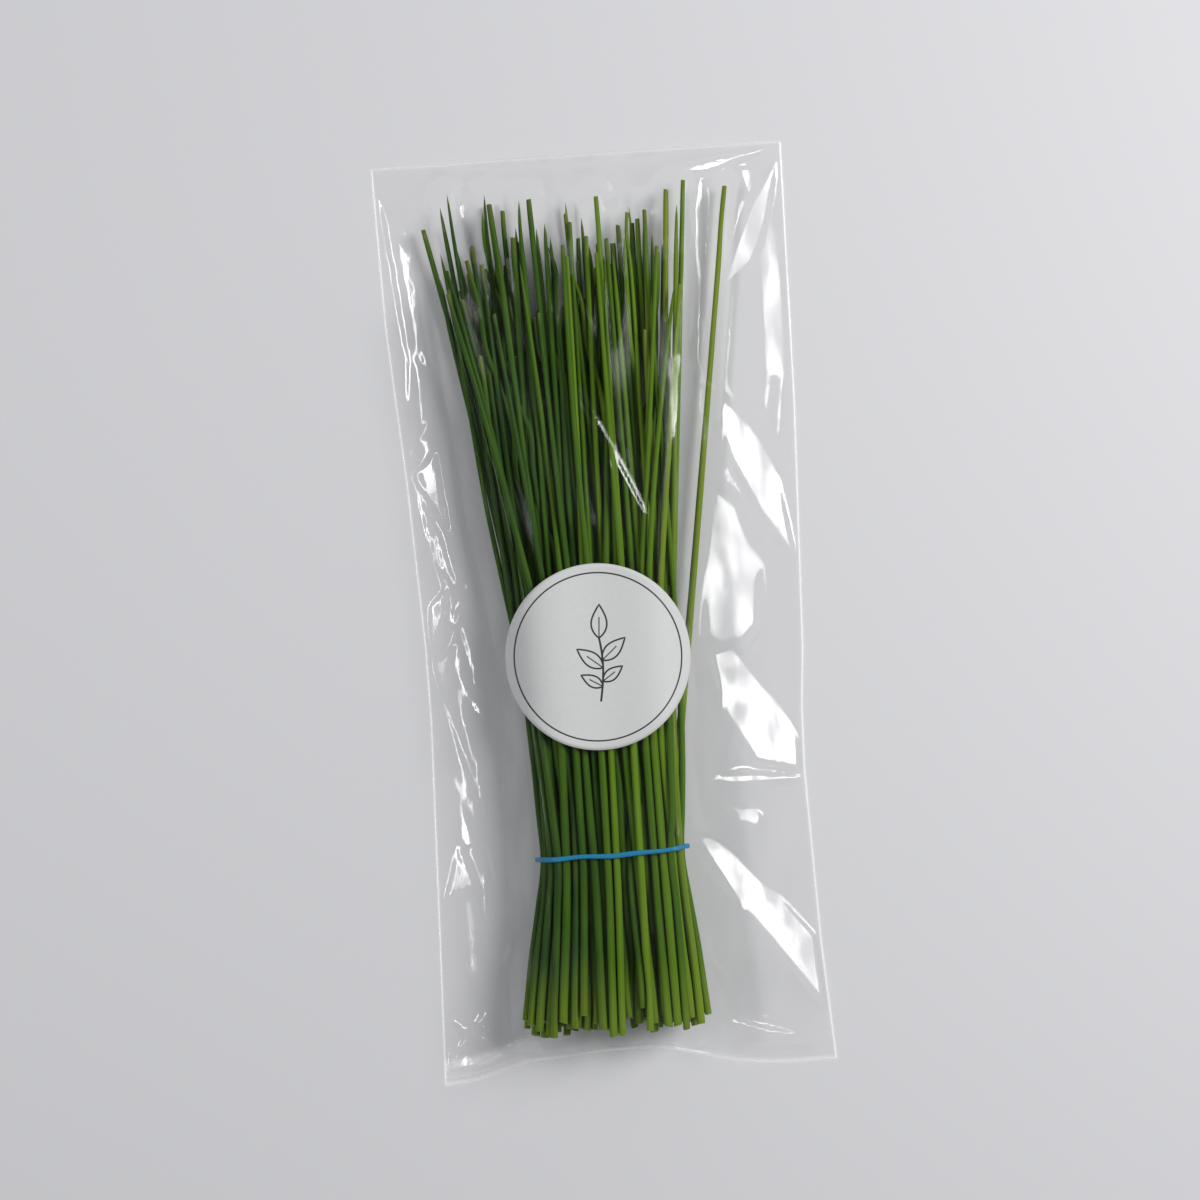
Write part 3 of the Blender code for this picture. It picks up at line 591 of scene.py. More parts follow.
def lay_facet(x, y, height, corners, lamp, pull, edge):
    """Blends the film to a plane inside a convex outline, through the film's mean height there.

    Depth inside the outline is the least distance to any of its sides, and the blend is a smoothstep of it.
    """
    corners = np.array(corners)
    depth = np.full(x.shape, np.inf)
    for (ax, ay), (bx, by) in zip(corners, np.roll(corners, -1, 0)):
        length = math.hypot(bx - ax, by - ay)
        depth = np.minimum(depth, ((bx - ax) * (y - ay) - (by - ay) * (x - ax)) / length)
    share = pull * smooth((depth + 0.5 * edge) / edge)
    inside = depth > 0
    mx, my = x[inside].mean(), y[inside].mean()
    sx, sy = mirror_slope(mx, my, lamp)
    plane = height[inside].mean() + sx * (x - mx) + sy * (y - my)
    plane += max(0.0, 0.7 - float(plane[inside].min()))
    return height * (1 - share) + plane * share, share


def random_creases(rng, count, box, lengths, heights, lean):
    """Seeded small folds in a box of the film: middle, direction about the lean, widths and height."""
    found = []
    for _ in range(count):
        cx, cy = rng.uniform(box[0], box[2]), rng.uniform(box[1], box[3])
        way = rng.normal(lean, 0.55)
        half = rng.uniform(*lengths) / 2
        dx, dy = half * math.sin(way), half * math.cos(way)
        wide = rng.uniform(0.8, 2.6, 2)
        height = rng.uniform(*heights) * rng.choice([-0.6, 1.0])
        found.append(((cx - dx, cy - dy), (cx + dx, cy + dy), wide[0], wide[1], height))
    return found


def seal_strip(x, above):
    """Share of the pressed strip at the left of the foot seam: 0.4 to 7.5 mm up, gone by X = -18."""
    return ((above < 7.5) & (above > 0.4)) * smooth((-18 - x) / 12.0)


def film_surfaces(stems, band_x, band_z, y_band):
    """Heights of the top and bottom film on one plan grid."""
    rows, columns = FILM_GRID
    x, y, edge, above = film_grid(columns, rows)
    cover = cover_at(x, y, stems, STEM_ROOM)
    upper = band_z > band_z.mean()
    order = np.argsort(band_x[upper])
    over = (x > band_x.min() - 0.6) & (x < band_x.max() + 0.6) & (abs(y - y_band - 0.018 * (x + 3.2)) < 1.1)
    band_top = np.interp(x, band_x[upper][order], band_z[upper][order]) + 0.75
    cover = np.maximum(cover, np.where(over, band_top, 0))
    lift = foot_lift(x, above)
    weld = (edge < 1.9) | (above < 2.2)
    mouth = above >= above.max(0)[None] - 1e-6
    base = lift + 0.14
    lip = base + 3.2 * smooth(1.3 - 1.3 * abs(x) / 50.0)
    bridge = blurred(widest(cover, 6, 3), 16, 6) * smooth((BAG_HALF - y) / 8.0)
    under = np.maximum(np.maximum(bridge + 0.2, base + 0.12), np.where(cover > 0, cover + 0.1, 0.0))
    hold, held = weld | mouth, np.where(weld, lift + 0.2, lip)
    small = (83, 51)
    coarse_under = resample(under, *small)
    coarse_hold = resample(hold.astype(float), *small) > 0.5
    coarse_hold[[0, -1]] = True
    coarse_hold[:, [0, -1]] = True
    coarse = relax_film(coarse_under, coarse_under, coarse_hold, resample(held, *small), 900)
    top = resample(coarse, rows, columns)
    top = relax_film(np.maximum(top, under), under, hold, held, 60)
    rel = np.clip((top - base) / 18.0, 0.0, 1.0)
    pressed = base + 18.0 * rel**2.1
    top = np.where(hold, held, np.maximum(pressed, under))
    top = relax_film(top, under, hold, held, 14)
    flat, soft = np.zeros(x.shape), np.zeros(x.shape)
    for corners, lamp, pull, rounding in FACETS:
        top, share = lay_facet(x, y, top, corners, lamp, pull, rounding)
        flat = np.maximum(flat, share)
        soft = np.maximum(soft, share * np.clip(rounding - 2.4, 0, 1) * 0.45)
    rng = np.random.default_rng(5)
    folds = random_creases(rng, 34, (-53, -115, -34, 120), (8, 30), (0.2, 0.6), 0.12)
    folds += random_creases(rng, 30, (28, -118, 54, 120), (8, 34), (0.15, 0.5), -0.25)
    folds += random_creases(rng, 26, (-32, 20, 6, 100), (3, 10), (0.12, 0.3), 0.3)
    bumps = crease_field(x, y, folds) * (1 - 0.8 * flat) + crease_field(x, y, CREASES)
    bumps *= smooth((edge - 1.0) / 3.0) * smooth((above - 2.0) / 3.0) * smooth((BAG_HALF + 0.5 - y) / 4.0)
    label_away = smooth((np.hypot(x + 3.4, y + 11.1) - LABEL_RADIUS - 0.3) / 2.5)
    top = np.maximum(top + bumps * label_away, under - 0.05)
    top = np.where(hold, held, top)
    near_line = np.zeros(x.shape)
    for (ax, ay), (bx, by), wide in GLINTS:
        length = math.hypot(bx - ax, by - ay)
        along = np.clip(((x - ax) * (bx - ax) + (y - ay) * (by - ay)) / length**2, 0, 1)
        off = np.hypot(x - ax - along * (bx - ax), y - ay - along * (by - ay))
        near_line = np.maximum(near_line, smooth(1.6 - off / wide))
    cling = blurred(widest((cover > 0).astype(float), 4, 1), 6, 3) * (1 - near_line)
    cling = np.clip(cling + 0.75 * soft, 0, 1)
    low = lift + 0.02
    under_folds = random_creases(rng, 70, (-53, -118, 53, 120), (8, 34), (0.25, 0.9), 0.0)
    bottom_free = smooth((top - 1.6) / 3.0) * smooth((edge - 2.5) / 4.0) * np.where(cover > 0, 0, 1)
    low = low + np.clip(crease_field(x, y, under_folds), 0, 1.4) * bottom_free
    top = top + (0.05 + 0.16 * (np.sin(above * 3.3) > 0.2)) * seal_strip(x, above)
    return x, y, edge, above, top, low, cling


def build_wall(name, x, y, high, low, seam, cling, finish):
    """A closed thin wall between two heights over one grid: upper skin, lower skin and the rim round them."""
    rows, columns = x.shape
    number = np.arange(rows * columns).reshape(rows, columns)
    lower = number + rows * columns
    a, b, c, d = number[:-1, :-1], number[:-1, 1:], number[1:, 1:], number[1:, :-1]
    upper_skin = np.stack([a, b, c, d], axis=-1).reshape(-1, 4)
    round_rim = np.concatenate([number[0, :-1], number[:-1, -1], number[-1, :0:-1], number[:0:-1, 0]])
    onward = np.roll(round_rim, -1)
    shift = rows * columns
    rim = np.stack([onward, round_rim, round_rim + shift, onward + shift], axis=-1)
    faces = np.concatenate([upper_skin, upper_skin[:, ::-1] + shift, rim])
    points = np.concatenate([np.stack([x, y, z], axis=-1).reshape(-1, 3) for z in (high, low)])
    cling = np.concatenate([cling.ravel(), np.ones(cling.size)])
    attributes = {"seam": np.tile(seam.ravel(), 2), "cling": cling}
    obj = make_piece(name, points, faces, finish, attributes=attributes)
    face_out(obj)
    return obj


def build_film(x, y, edge, above, top, low, cling, finish):
    """The bag: a front film and a back film, each a thin wall, lying together along the sides and foot."""
    top = np.maximum(top, low + 3 * FILM_WALL)
    joined = 1 - smooth(edge / 1.2) * smooth(above / 1.6)
    middle = 0.5 * (top + low)
    front_low = (top - FILM_WALL) * (1 - joined) + (middle + 0.012) * joined
    back_high = (low + FILM_WALL) * (1 - joined) + (middle - 0.012) * joined
    # Seam share: partly a milky weld, partly painted highlight; it whitens the side edges, mouth and foot seam
    # into bright lines that stand in for their glints.
    seam = np.clip(1 - edge / 0.5, 0, 1) + 0.35 * np.clip(1 - (BAG_HALF - y) / 0.6, 0, 1)
    seam = seam + 0.5 * np.clip(1 - above / 0.6, 0, 1)
    # The pressed seal strip's ribs are painted as pale lines standing in for their glints.
    ribs = 0.3 * (0.5 + 0.5 * np.sin(above * 3.3)) * seal_strip(x, above)
    seam = np.clip(seam + ribs, 0, 1)
    front = build_wall("film_front", x, y, top, front_low, seam, cling, finish)
    rows = np.unique(np.r_[np.arange(0, x.shape[0], 2), x.shape[0] - 1])
    last = x.shape[1] - 1
    columns = np.unique(np.r_[0, 1, 2, np.arange(3, last - 2, 2), last - 2, last - 1, last])
    part = np.ix_(rows, columns)
    dull = np.ones(x[part].shape)
    back = build_wall("film_back", x[part], y[part], back_high[part], low[part], seam[part], dull, finish)
    front.visible_shadow = back.visible_shadow = False
    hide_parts("bag")
    return front, back


def height_on(x, y, grid_x, grid_y, grid_z):
    """Film height at any points: row found from Y, then straight between the grid's own points."""
    rows, columns = grid_x.shape
    mid = columns // 2
    r = np.interp(y, grid_y[:, mid], np.arange(rows))
    r0 = np.clip(r.astype(int), 0, rows - 2)
    fr = r - r0
    x0 = grid_x[r0, 0] * (1 - fr) + grid_x[r0 + 1, 0] * fr
    x1 = grid_x[r0, -1] * (1 - fr) + grid_x[r0 + 1, -1] * fr
    c = (x - x0) / (x1 - x0) * (columns - 1)
    c0 = np.clip(c.astype(int), 0, columns - 2)
    fc = c - c0
    a = grid_z[r0, c0] * (1 - fc) + grid_z[r0, c0 + 1] * fc
    b = grid_z[r0 + 1, c0] * (1 - fc) + grid_z[r0 + 1, c0 + 1] * fc
    return a * (1 - fr) + b * fr


# ---------------------------------------------------------------- the label

LABEL_MIDDLE = (-3.4, -11.1)


def label_fit(grid):
    """Smooth bent surface under the label: least-squares low powers of X and Y, kept above the film."""
    d = np.linspace(-LABEL_RADIUS, LABEL_RADIUS, 90)
    dx, dy = (g.ravel() for g in np.meshgrid(d, d))
    inside = np.hypot(dx, dy) < LABEL_RADIUS + 0.4
    dx, dy = dx[inside], dy[inside]
    under = height_on(dx + LABEL_MIDDLE[0], dy + LABEL_MIDDLE[1], *grid)

    def terms(u, v):
        u, v = u / LABEL_RADIUS, v / LABEL_RADIUS
        low_powers = [np.ones_like(u), u, v, u * u, u * v, v * v, u**3]
        return np.stack(low_powers + [u * u * v, u * v * v, u**4, u**4 * v], axis=-1)

    fit = np.linalg.lstsq(terms(dx, dy), under, rcond=None)[0]
    short = float((under - terms(dx, dy) @ fit).max())
    print("label stands off by", round(short, 2), "mm at most")
    return lambda u, v: terms(u, v) @ fit + short + 0.03


def build_label(surface, finish):
    """The label: rings of a disc laid on the bent surface, two skins 0.12 mm apart, with a turned-over rim."""
    ring = np.r_[np.linspace(0, 1, 26)[1:] * LABEL_RADIUS]
    turn = np.linspace(0, 2 * np.pi, 120, endpoint=False)
    u, v = np.outer(ring, np.cos(turn)).ravel(), np.outer(ring, np.sin(turn)).ravel()
    u, v = np.r_[0.0, u], np.r_[0.0, v]
    low = surface(u, v)
    curl = 0.10 * np.exp(-(((np.hypot(u, v) - LABEL_RADIUS) / 2.0) ** 2)) * (1 + np.sin(5 * np.arctan2(v, u)))
    low = low + curl
    bottom = np.stack([u + LABEL_MIDDLE[0], v + LABEL_MIDDLE[1], low], axis=-1)
    top = bottom + np.array([0.0, 0.0, 0.12])
    count, sides = len(u), len(turn)
    side = np.arange(sides)
    after = (side + 1) % sides
    faces = [(0, int(1 + b), int(1 + a)) for a, b in zip(side, after)]
    faces += [(count, int(count + 1 + a), int(count + 1 + b)) for a, b in zip(side, after)]
    rings = tube_faces(len(ring), sides) + 1
    rim = 1 + (len(ring) - 1) * sides
    rim_faces = np.stack([rim + side, rim + after, count + rim + after, count + rim + side], axis=-1)
    faces += rings.tolist() + (rings[:, ::-1] + count).tolist() + rim_faces.tolist()
    obj = make_piece("paper_label", np.concatenate([bottom, top]), faces, finish)
    face_out(obj)
    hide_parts("label")
    return obj


def ink_band(points, widths, surface):
    """A printed line: its two edges either side of a path on the label, a hair above the paper."""
    points = np.asarray(points, float)
    step = np.gradient(points, axis=0)
    step /= np.linalg.norm(step, axis=1, keepdims=True)
    side = np.stack([-step[:, 1], step[:, 0]], axis=-1) * np.asarray(widths, float)[:, None] / 2
    left, right = points + side, points - side

    def raised(p, lift):
        curl = 0.10 * np.exp(-(((np.hypot(p[:, 0], p[:, 1]) - LABEL_RADIUS) / 2.0) ** 2))
        curl = curl * (1 + np.sin(5 * np.arctan2(p[:, 1], p[:, 0])))
        z = surface(p[:, 0], p[:, 1]) + curl + lift
        return np.stack([p[:, 0] + LABEL_MIDDLE[0], p[:, 1] + LABEL_MIDDLE[1], z], axis=-1)

    low, high = 0.115, 0.145
    corners = [raised(left, low), raised(left, high), raised(right, high), raised(right, low)]
    rings = np.stack(corners, axis=1)
    return rings


def leaf_outline(at, way, length, width):
    """Outline of a small leaf as one closed line: out along one bowed edge and back along the other."""
    t = np.linspace(0, 1, 18)
    bow = width * np.sin(np.pi * t**0.8)
    one = np.stack([t * length, bow], axis=-1)
    two = np.stack([t[::-1] * length, -bow[::-1]], axis=-1)[1:]
    line = np.concatenate([one, two])
    c, s = math.cos(way), math.sin(way)
    return np.stack([at[0] + line[:, 0] * c - line[:, 1] * s, at[1] + line[:, 0] * s + line[:, 1] * c], axis=-1)


def build_print(surface, finish):
    """Print on the label: a thin ring near the edge and a plain sprig of three leaves on a stalk."""
    groups, closed = [], []
    turn = np.linspace(0, 2 * np.pi, 200, endpoint=False)
    circle = np.stack([np.cos(turn), np.sin(turn)], axis=-1) * 22.5
    step = np.roll(circle, -1, 0)
    rings = ink_band(np.vstack([circle, step[-1:]]), np.full(201, 0.4), surface)[:-1]
    groups.append(rings)
    closed.append(True)
    t = np.linspace(0, 1, 40)
    stalk = np.stack([1.2 * np.sin(t * 2.6), -12.0 + 17.0 * t], axis=-1)
    lines = [(stalk, 0.55)]
    for at, way, length, width in (
        ((1.2 * math.sin(2.6), 5.0), 1.50, 9.0, 2.1),
        ((1.1, -1.0), 0.72, 8.6, 1.9),
        ((1.18, -3.0), 2.46, 8.6, 1.9),
        ((0.9, -6.6), 0.60, 6.6, 1.5),
        ((0.8, -8.0), 2.60, 6.6, 1.5),
    ):
        lines.append((leaf_outline(at, way, length, width), 0.45))
        c, s = math.cos(way), math.sin(way)
        vein = np.linspace(0.0, length * 0.62, 12)
        lines.append((np.stack([at[0] + vein * c, at[1] + vein * s], axis=-1), 0.3))
    for line, width in lines:
        groups.append(ink_band(line, np.full(len(line), width), surface))
        closed.append(False)
    made = []
    for number, (rings, loop) in enumerate(zip(groups, closed)):
        faces = tube_faces(len(rings), 4, closed_loop=loop).tolist()
        if not loop:
            last = (len(rings) - 1) * 4
            faces += [[3, 2, 1, 0], [last, last + 1, last + 2, last + 3]]
        obj = make_piece(f"label_print_{number:02d}", rings.reshape(-1, 3), faces, finish, False)
        face_out(obj)
        made.append(obj)
    return made


# ---------------------------------------------------------------- finishes


def new_finish(name):
    """A node material with its Principled shader and output."""
    made = bpy.data.materials.new(name)
    made.use_nodes = True
    tree = made.node_tree
    return made, tree, tree.nodes["Principled BSDF"]


def add(tree, kind, **inputs):
    """A node of a kind with some of its inputs set."""
    node = tree.nodes.new(kind)
    for key, value in inputs.items():
        node.inputs[key.replace("_", " ")].default_value = value
    return node


def attribute(tree, name):
    """An attribute of the piece's own mesh."""
    node = tree.nodes.new("ShaderNodeAttribute")
    node.attribute_name = name
    return node


def mixed(tree, factor, one, two, kind="MIX"):
    """Colour mix of two colours or sockets by a factor socket or number."""
    node = tree.nodes.new("ShaderNodeMix")
    node.data_type, node.blend_type = "RGBA", kind
    for index, value in ((0, factor), (6, one), (7, two)):
        if isinstance(value, bpy.types.NodeSocket):
            tree.links.new(value, node.inputs[index])
        else:
            node.inputs[index].default_value = value
    return node.outputs[2]


def maths(tree, kind, one, two, three=None):
    """A Math node; each input is a number or the output of another node."""
    node = tree.nodes.new("ShaderNodeMath")
    node.operation = kind
    for socket, value in zip(node.inputs, (one, two, three)):
        if isinstance(value, (int, float)):
            socket.default_value = value
        elif value is not None:
            tree.links.new(value, socket)
    return node.outputs[0]


def ramp(tree, value, stops):
    """Colour ramp over a value socket."""
    node = tree.nodes.new("ShaderNodeValToRGB")
    while len(node.color_ramp.elements) < len(stops):
        node.color_ramp.elements.new(0.5)
    for element, (at, colour) in zip(node.color_ramp.elements, stops):
        element.position, element.color = at, (*colour, 1.0)
    tree.links.new(value, node.inputs["Fac"])
    return node.outputs["Color"]


def spread(tree, value, low, high, to_low=0.0, to_high=1.0):
    """A value socket moved from one range to another, held at the ends."""
    node = tree.nodes.new("ShaderNodeMapRange")
    tree.links.new(value, node.inputs["Value"])
    for key, v in (("From Min", low), ("From Max", high), ("To Min", to_low), ("To Max", to_high)):
        node.inputs[key].default_value = v
    return node.outputs["Result"]


def noise(tree, where, scale, detail, stretch=None):
    """Noise over a vector socket, stretched along its axes."""
    if stretch:
        mapping = tree.nodes.new("ShaderNodeMapping")
        mapping.inputs["Scale"].default_value = stretch
        tree.links.new(where, mapping.inputs["Vector"])
        where = mapping.outputs["Vector"]
    node = add(tree, "ShaderNodeTexNoise", Scale=scale, Detail=detail)
    tree.links.new(where, node.inputs["Vector"])
    return node.outputs["Fac"]


def stem_finish():
    """Waxy green skin: a green level per stem, partly random and partly painted shade that darkens stems
    towards the left of the bunch; pale foot, yellow tip, fine lengthwise fibres, pale cut faces.
    """
    made, tree, skin = new_finish("chive_skin")
    grain, tone_and_side_shade = attribute(tree, "grain").outputs["Vector"], attribute(tree, "tone_and_side_shade").outputs["Fac"]
    share, bare = attribute(tree, "share").outputs["Fac"], attribute(tree, "bare").outputs["Fac"]
    # Dark to light green by the stem's level, which holds painted shade for the left of the bunch as well as
    # random colour.
    base = ramp(tree, tone_and_side_shade, (
        (0.0, (0.020, 0.066, 0.010)),
        (0.3, (0.031, 0.098, 0.003)),
        (0.6, (0.090, 0.194, 0.004)),
        (0.85, (0.158, 0.285, 0.012)),
        (1.0, (0.215, 0.300, 0.024)),
    ))
    blotch = noise(tree, grain, 1.3, 3.0, (0.6, 0.6, 1.0))
    base = mixed(tree, spread(tree, blotch, 0.38, 0.75, 0.0, 0.4), base, (0.120, 0.225, 0.006, 1.0))
    foot = spread(tree, share, 0.09, 0.0, 0.0, 0.5)
    base = mixed(tree, foot, base, (0.26, 0.38, 0.03, 1.0))
    tip = spread(tree, share, 0.965, 1.0, 0.0, 0.5)
    base = mixed(tree, tip, base, (0.20, 0.23, 0.05, 1.0))
    fibre = noise(tree, grain, 9.0, 2.0, (1.0, 1.0, 0.05))
    base = mixed(tree, spread(tree, fibre, 0.35, 0.68, 0.0, 0.45), base, (0.018, 0.040, 0.006, 1.0))
    speck = noise(tree, grain, 30.0, 2.0, (1.0, 1.0, 0.6))
    base = mixed(tree, spread(tree, speck, 0.66, 0.74, 0.0, 0.35), base, (0.16, 0.22, 0.06, 1.0))
    base = mixed(tree, bare, base, (0.30, 0.40, 0.12, 1.0))
    tree.links.new(base, skin.inputs["Base Color"])
    tree.links.new(spread(tree, fibre, 0.3, 0.7, 0.46, 0.62), skin.inputs["Roughness"])
    skin.inputs["Specular IOR Level"].default_value = 0.11
    bump = add(tree, "ShaderNodeBump", Strength=0.35, Distance=0.00012)
    tree.links.new(fibre, bump.inputs["Height"])
    tree.links.new(bump.outputs["Normal"], skin.inputs["Normal"])
    return made


def band_finish():
    """Blue rubber, matt, with faint stretch marks and dust."""
    made, tree, skin = new_finish("band_rubber")
    grain = attribute(tree, "grain").outputs["Vector"]
    marks = noise(tree, grain, 6.0, 3.0, (1.0, 1.0, 3.0))
    base = mixed(tree, spread(tree, marks, 0.35, 0.7), (0.002, 0.16, 0.33, 1.0), (0.006, 0.25, 0.45, 1.0))
    tree.links.new(base, skin.inputs["Base Color"])
    skin.inputs["Roughness"].default_value = 0.45
    bump = add(tree, "ShaderNodeBump", Strength=0.3, Distance=0.00008)
    tree.links.new(marks, bump.inputs["Height"])
    tree.links.new(bump.outputs["Normal"], skin.inputs["Normal"])
    return made


def paper_finish():
    """White matt paper with faint fibres."""
    made, tree, skin = new_finish("label_paper")
    where = tree.nodes.new("ShaderNodeTexCoord").outputs["Object"]
    fibres = noise(tree, where, 900.0, 4.0)
    base = mixed(tree, fibres, (0.63, 0.63, 0.625, 1.0), (0.69, 0.69, 0.685, 1.0))
    tree.links.new(base, skin.inputs["Base Color"])
    skin.inputs["Roughness"].default_value = 0.62
    bump = add(tree, "ShaderNodeBump", Strength=0.15, Distance=0.00003)
    tree.links.new(fibres, bump.inputs["Height"])
    tree.links.new(bump.outputs["Normal"], skin.inputs["Normal"])
    return made


def ink_finish():
    """Dark green-grey ink, slightly uneven."""
    made, tree, skin = new_finish("label_ink")
    where = tree.nodes.new("ShaderNodeTexCoord").outputs["Object"]
    wear = noise(tree, where, 1500.0, 3.0)
    base = mixed(tree, wear, (0.018, 0.022, 0.016, 1.0), (0.035, 0.042, 0.03, 1.0))
    tree.links.new(base, skin.inputs["Base Color"])
    skin.inputs["Roughness"].default_value = 0.5
    return made


def film_finish():
    """Clear film: light passes straight on, a share set by the angle is mirrored, and a little goes to a white
    diffuse shade: a faint cloudiness over the film, made strong along the seams as painted highlight lines
    standing in for the glints of the welded edges and seal ribs.
    """
    made = bpy.data.materials.new("clear_film")
    made.use_nodes = True
    tree = made.node_tree
    tree.nodes.clear()
    out = tree.nodes.new("ShaderNodeOutputMaterial")
    clear = add(tree, "ShaderNodeBsdfTransparent", Color=(0.998, 0.998, 0.996, 1.0))
    gloss = add(tree, "ShaderNodeBsdfGlossy", Color=(1.0, 1.0, 1.0, 1.0), Roughness=0.10)
    haze_and_seam_glint = add(tree, "ShaderNodeBsdfDiffuse", Color=(0.96, 0.96, 0.96, 1.0))
    where = tree.nodes.new("ShaderNodeTexCoord").outputs["Object"]
    crinkle = noise(tree, where, 130.0, 3.0, (1.0, 0.5, 1.0))
    fine = noise(tree, where, 700.0, 3.0)
    bump = add(tree, "ShaderNodeBump", Strength=0.5, Distance=0.0005)
    tree.links.new(crinkle, bump.inputs["Height"])
    bump2 = add(tree, "ShaderNodeBump", Strength=0.2, Distance=0.00005)
    tree.links.new(fine, bump2.inputs["Height"])
    tree.links.new(bump.outputs["Normal"], bump2.inputs["Normal"])
    tree.links.new(bump2.outputs["Normal"], gloss.inputs["Normal"])
    weight = add(tree, "ShaderNodeLayerWeight", Blend=0.5).outputs["Facing"]
    tilt = spread(tree, weight, 0.012, 0.085, 0.007, 0.066)
    both = maths(tree, "MULTIPLY_ADD", maths(tree, "POWER", weight, 4.0), 0.5, tilt)
    wrinkled = noise(tree, where, 170.0, 6.0, (1.0, 0.38, 1.0))
    uneven = spread(tree, wrinkled, 0.38, 0.62, 0.20, 1.15)
    dulled = spread(tree, attribute(tree, "cling").outputs["Fac"], 0.0, 0.8, 1.0, 0.06)
    amount = maths(tree, "MULTIPLY", both, maths(tree, "MULTIPLY", uneven, dulled))
    # Painted highlight: along the seams the white diffuse share is raised so the edges show as bright lines;
    # elsewhere it is a faint cloudiness of the film.
    seam = attribute(tree, "seam").outputs["Fac"]
    cloud = spread(tree, noise(tree, where, 45.0, 4.0), 0.4, 0.7, 0.001, 0.005)
    haze_and_glint_share = maths(tree, "MULTIPLY_ADD", seam, 0.5, cloud)
    haze_and_glint_mix = tree.nodes.new("ShaderNodeMixShader")
    tree.links.new(haze_and_glint_share, haze_and_glint_mix.inputs[0])
    tree.links.new(clear.outputs[0], haze_and_glint_mix.inputs[1])
    tree.links.new(haze_and_seam_glint.outputs[0], haze_and_glint_mix.inputs[2])
    mix = tree.nodes.new("ShaderNodeMixShader")
    tree.links.new(amount, mix.inputs[0])
    tree.links.new(haze_and_glint_mix.outputs[0], mix.inputs[1])
    tree.links.new(gloss.outputs[0], mix.inputs[2])
    tree.links.new(mix.outputs[0], out.inputs["Surface"])
    return made


# ---------------------------------------------------------------- room


def plain(name, colour, roughness):
    """An even finish of one colour."""
    made, _, skin = new_finish(name)
    skin.inputs["Base Color"].default_value = (*colour, 1.0)
    skin.inputs["Roughness"].default_value = roughness
    return made


def set_room():
    """Pale floor, a large soft lamp on the right, a weak one on the left, an even sky and the camera above."""
    mesh = bpy.data.meshes.new("floor")
    s = 3.0
    mesh.from_pydata([(-s, -s, 0), (s, -s, 0), (s, s, 0), (-s, s, 0)], [], [(0, 1, 2, 3)])
    mesh.materials.append(plain("floor", (0.75, 0.745, 0.765), 0.6))
    floor = bpy.data.objects.new("floor", mesh)
    bpy.context.scene.collection.objects.link(floor)
    world = bpy.data.worlds.new("sky")
    world.use_nodes = True
    world.node_tree.nodes["Background"].inputs["Color"].default_value = (0.93, 0.96, 1.0, 1.0)
    world.node_tree.nodes["Background"].inputs["Strength"].default_value = 0.25
    bpy.context.scene.world = world
    for name, place, size, power in (
        ("key", (0.80, 0.30, 0.80), (0.5, 0.6), 9.8),
        ("side", (-0.80, 0.12, 0.80), (0.6, 0.12), 2.7),
    ):
        lamp = bpy.data.lights.new(name, "AREA")
        lamp.shape, lamp.size, lamp.size_y, lamp.energy = "RECTANGLE", size[0], size[1], power
        obj = bpy.data.objects.new(name, lamp)
        obj.location = place
        back = -np.array(place) / np.linalg.norm(place)
        from_up = Vector(back).to_track_quat("-Z", "Y")
        obj.rotation_euler = from_up.to_euler()
        bpy.context.scene.collection.objects.link(obj)
    camera = bpy.data.cameras.new("camera")
    camera.lens, camera.sensor_width = 110.0, 36.0
    camera.clip_start, camera.clip_end = 0.05, 20.0
    eye = bpy.data.objects.new("camera", camera)
    eye.location = (-0.0018, 0.0040, 1.0)
    eye.rotation_euler = (0.0, 0.0, math.radians(-4.0))
    bpy.context.scene.collection.objects.link(eye)
    bpy.context.scene.camera = eye


# ---------------------------------------------------------------- everything


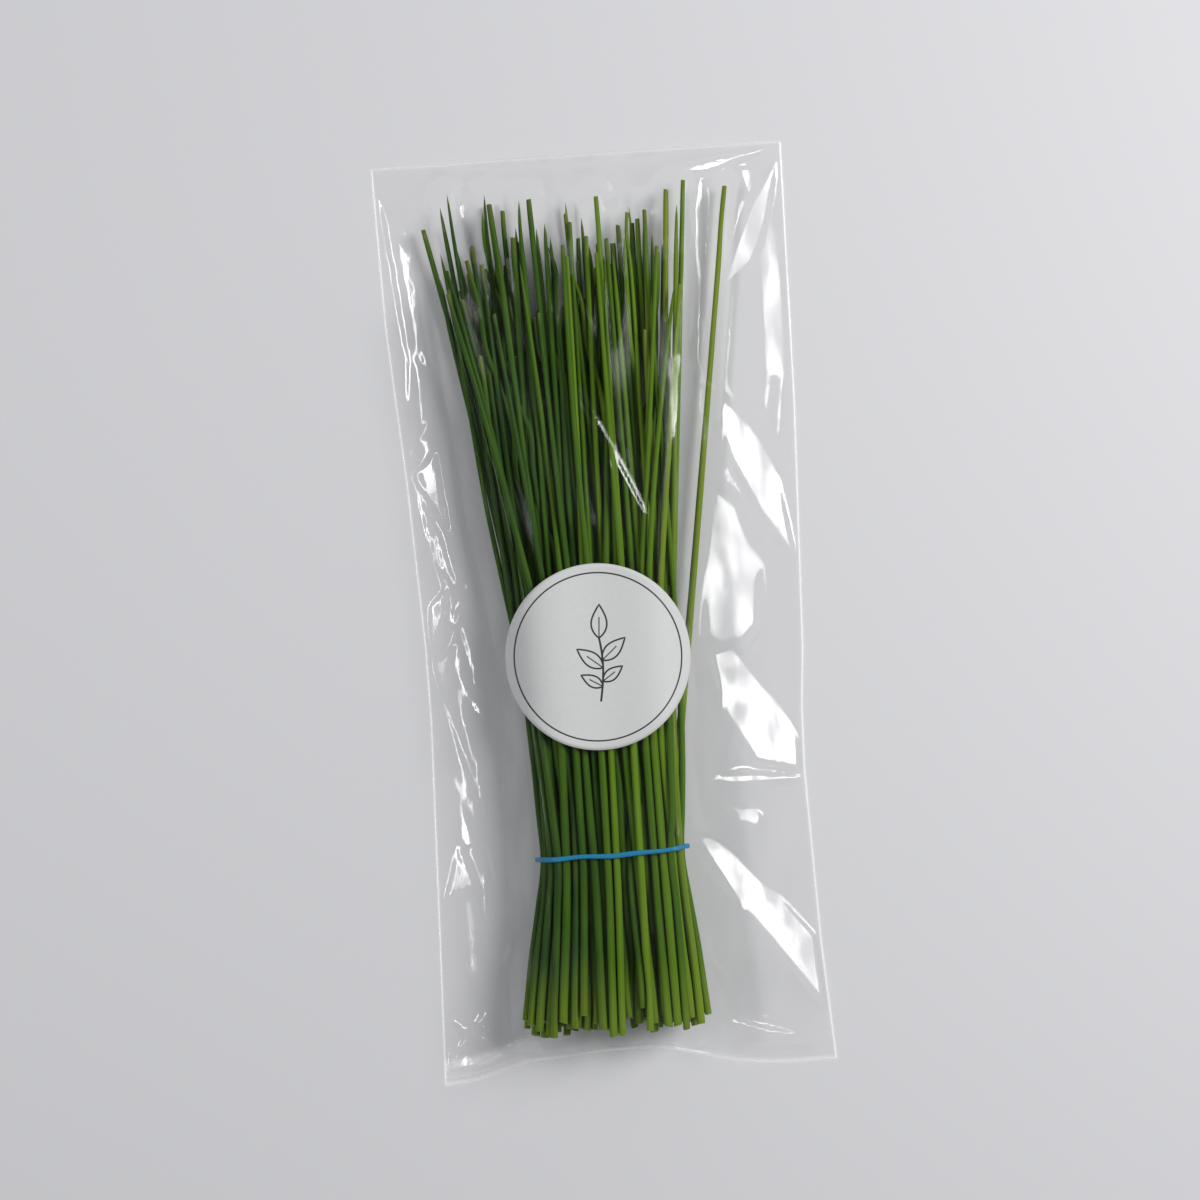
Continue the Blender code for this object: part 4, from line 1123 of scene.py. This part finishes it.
def main():
    """Reads the solid stems, packs the inner ones between them, and lays band, film and label over all."""
    nodes = sorted(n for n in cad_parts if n.startswith("stem_"))
    solid = [read_stem(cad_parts[n]) for n in nodes]
    place = np.stack([np.stack([at_stations(y, c[:, k]) for k in range(2)], axis=-1) for y, c, _ in solid])
    radii = np.stack([at_stations(y, r) for y, _, r in solid])
    rng = np.random.default_rng(11)
    inner, inner_size = grow_inner(rng, place, radii)
    skin = stem_finish()
    stems = []
    for number, (node, (y, centre, radius)) in enumerate(zip(nodes, solid)):
        middle = centre[len(centre) // 2, 0]
        # Green level: random, plus painted shade that makes stems darker towards the left of the bunch and
        # lighter towards the right.
        tone_and_side_shade = float(np.clip(0.48 + middle * 0.018 + rng.normal(0, 0.26), 0, 1))
        pointed = rng.random() < 0.3
        name = f"chive_{number:02d}"
        obj = build_stem(name, y, centre, radius, tone_and_side_shade, 100 + number, skin, pointed)
        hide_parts(node)
        stems.append((y, centre, radius))
    for number in range(INNER_COUNT):
        foot = rng.uniform(-112.6, -105.0) + (rng.uniform(4.0, 24.0) if rng.random() < 0.16 else 0.0)
        tip = 104.0 - 46.0 * rng.random() ** 0.9
        run = STATIONS[(STATIONS > foot + 2) & (STATIONS < tip - 2)]
        y = np.r_[foot, run, tip]
        centre = np.stack([np.interp(y, STATIONS, inner[number, :, k]) for k in range(2)], axis=-1)
        radius = np.interp(y, STATIONS, inner_size[number]) * 0.97
        # Green level: random, plus painted shade that makes stems darker towards the left of the bunch and
        # lighter towards the right.
        tone_and_side_shade = float(np.clip(0.46 + inner[number, 11, 0] * 0.016 + rng.normal(0, 0.26), 0, 1))
        pointed = rng.random() < 0.4
        name = f"inner_chive_{number:02d}"
        build_stem(name, y, centre, radius, tone_and_side_shade, 300 + number, skin, pointed)
        stems.append((y, centre, radius))
    for number, share in enumerate(np.linspace(-0.92, 0.92, SIDE_COUNT)):
        y, centre, radius = side_leaf(rng, stems, share)
        # Green level: random, plus painted shade that makes leaves darker towards the left of the bunch and
        # lighter towards the right.
        tone_and_side_shade = float(np.clip(0.50 + centre[-8, 0] * 0.010 + rng.normal(0, 0.2), 0, 1))
        pointed = rng.random() < 0.3
        name = f"side_chive_{number:02d}"
        build_stem(name, y, centre, radius, tone_and_side_shade, 500 + number, skin, pointed)
        stems.append((y, centre, radius))
    low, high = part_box("rubber_band")
    y_band = 0.5 * (low.y + high.y) / MM
    build_band(place, radii, y_band, band_finish())
    band_x, band_z = band_loop(place, radii, y_band, 0.5)
    x, y, edge, above, top, bottom, cling = film_surfaces(stems, band_x, band_z, y_band)
    build_film(x, y, edge, above, top, bottom, cling, film_finish())
    surface = label_fit((x, y, top))
    build_label(surface, paper_finish())
    build_print(surface, ink_finish())
    set_room()
    bpy.context.scene.view_settings.view_transform = "Standard"


main()
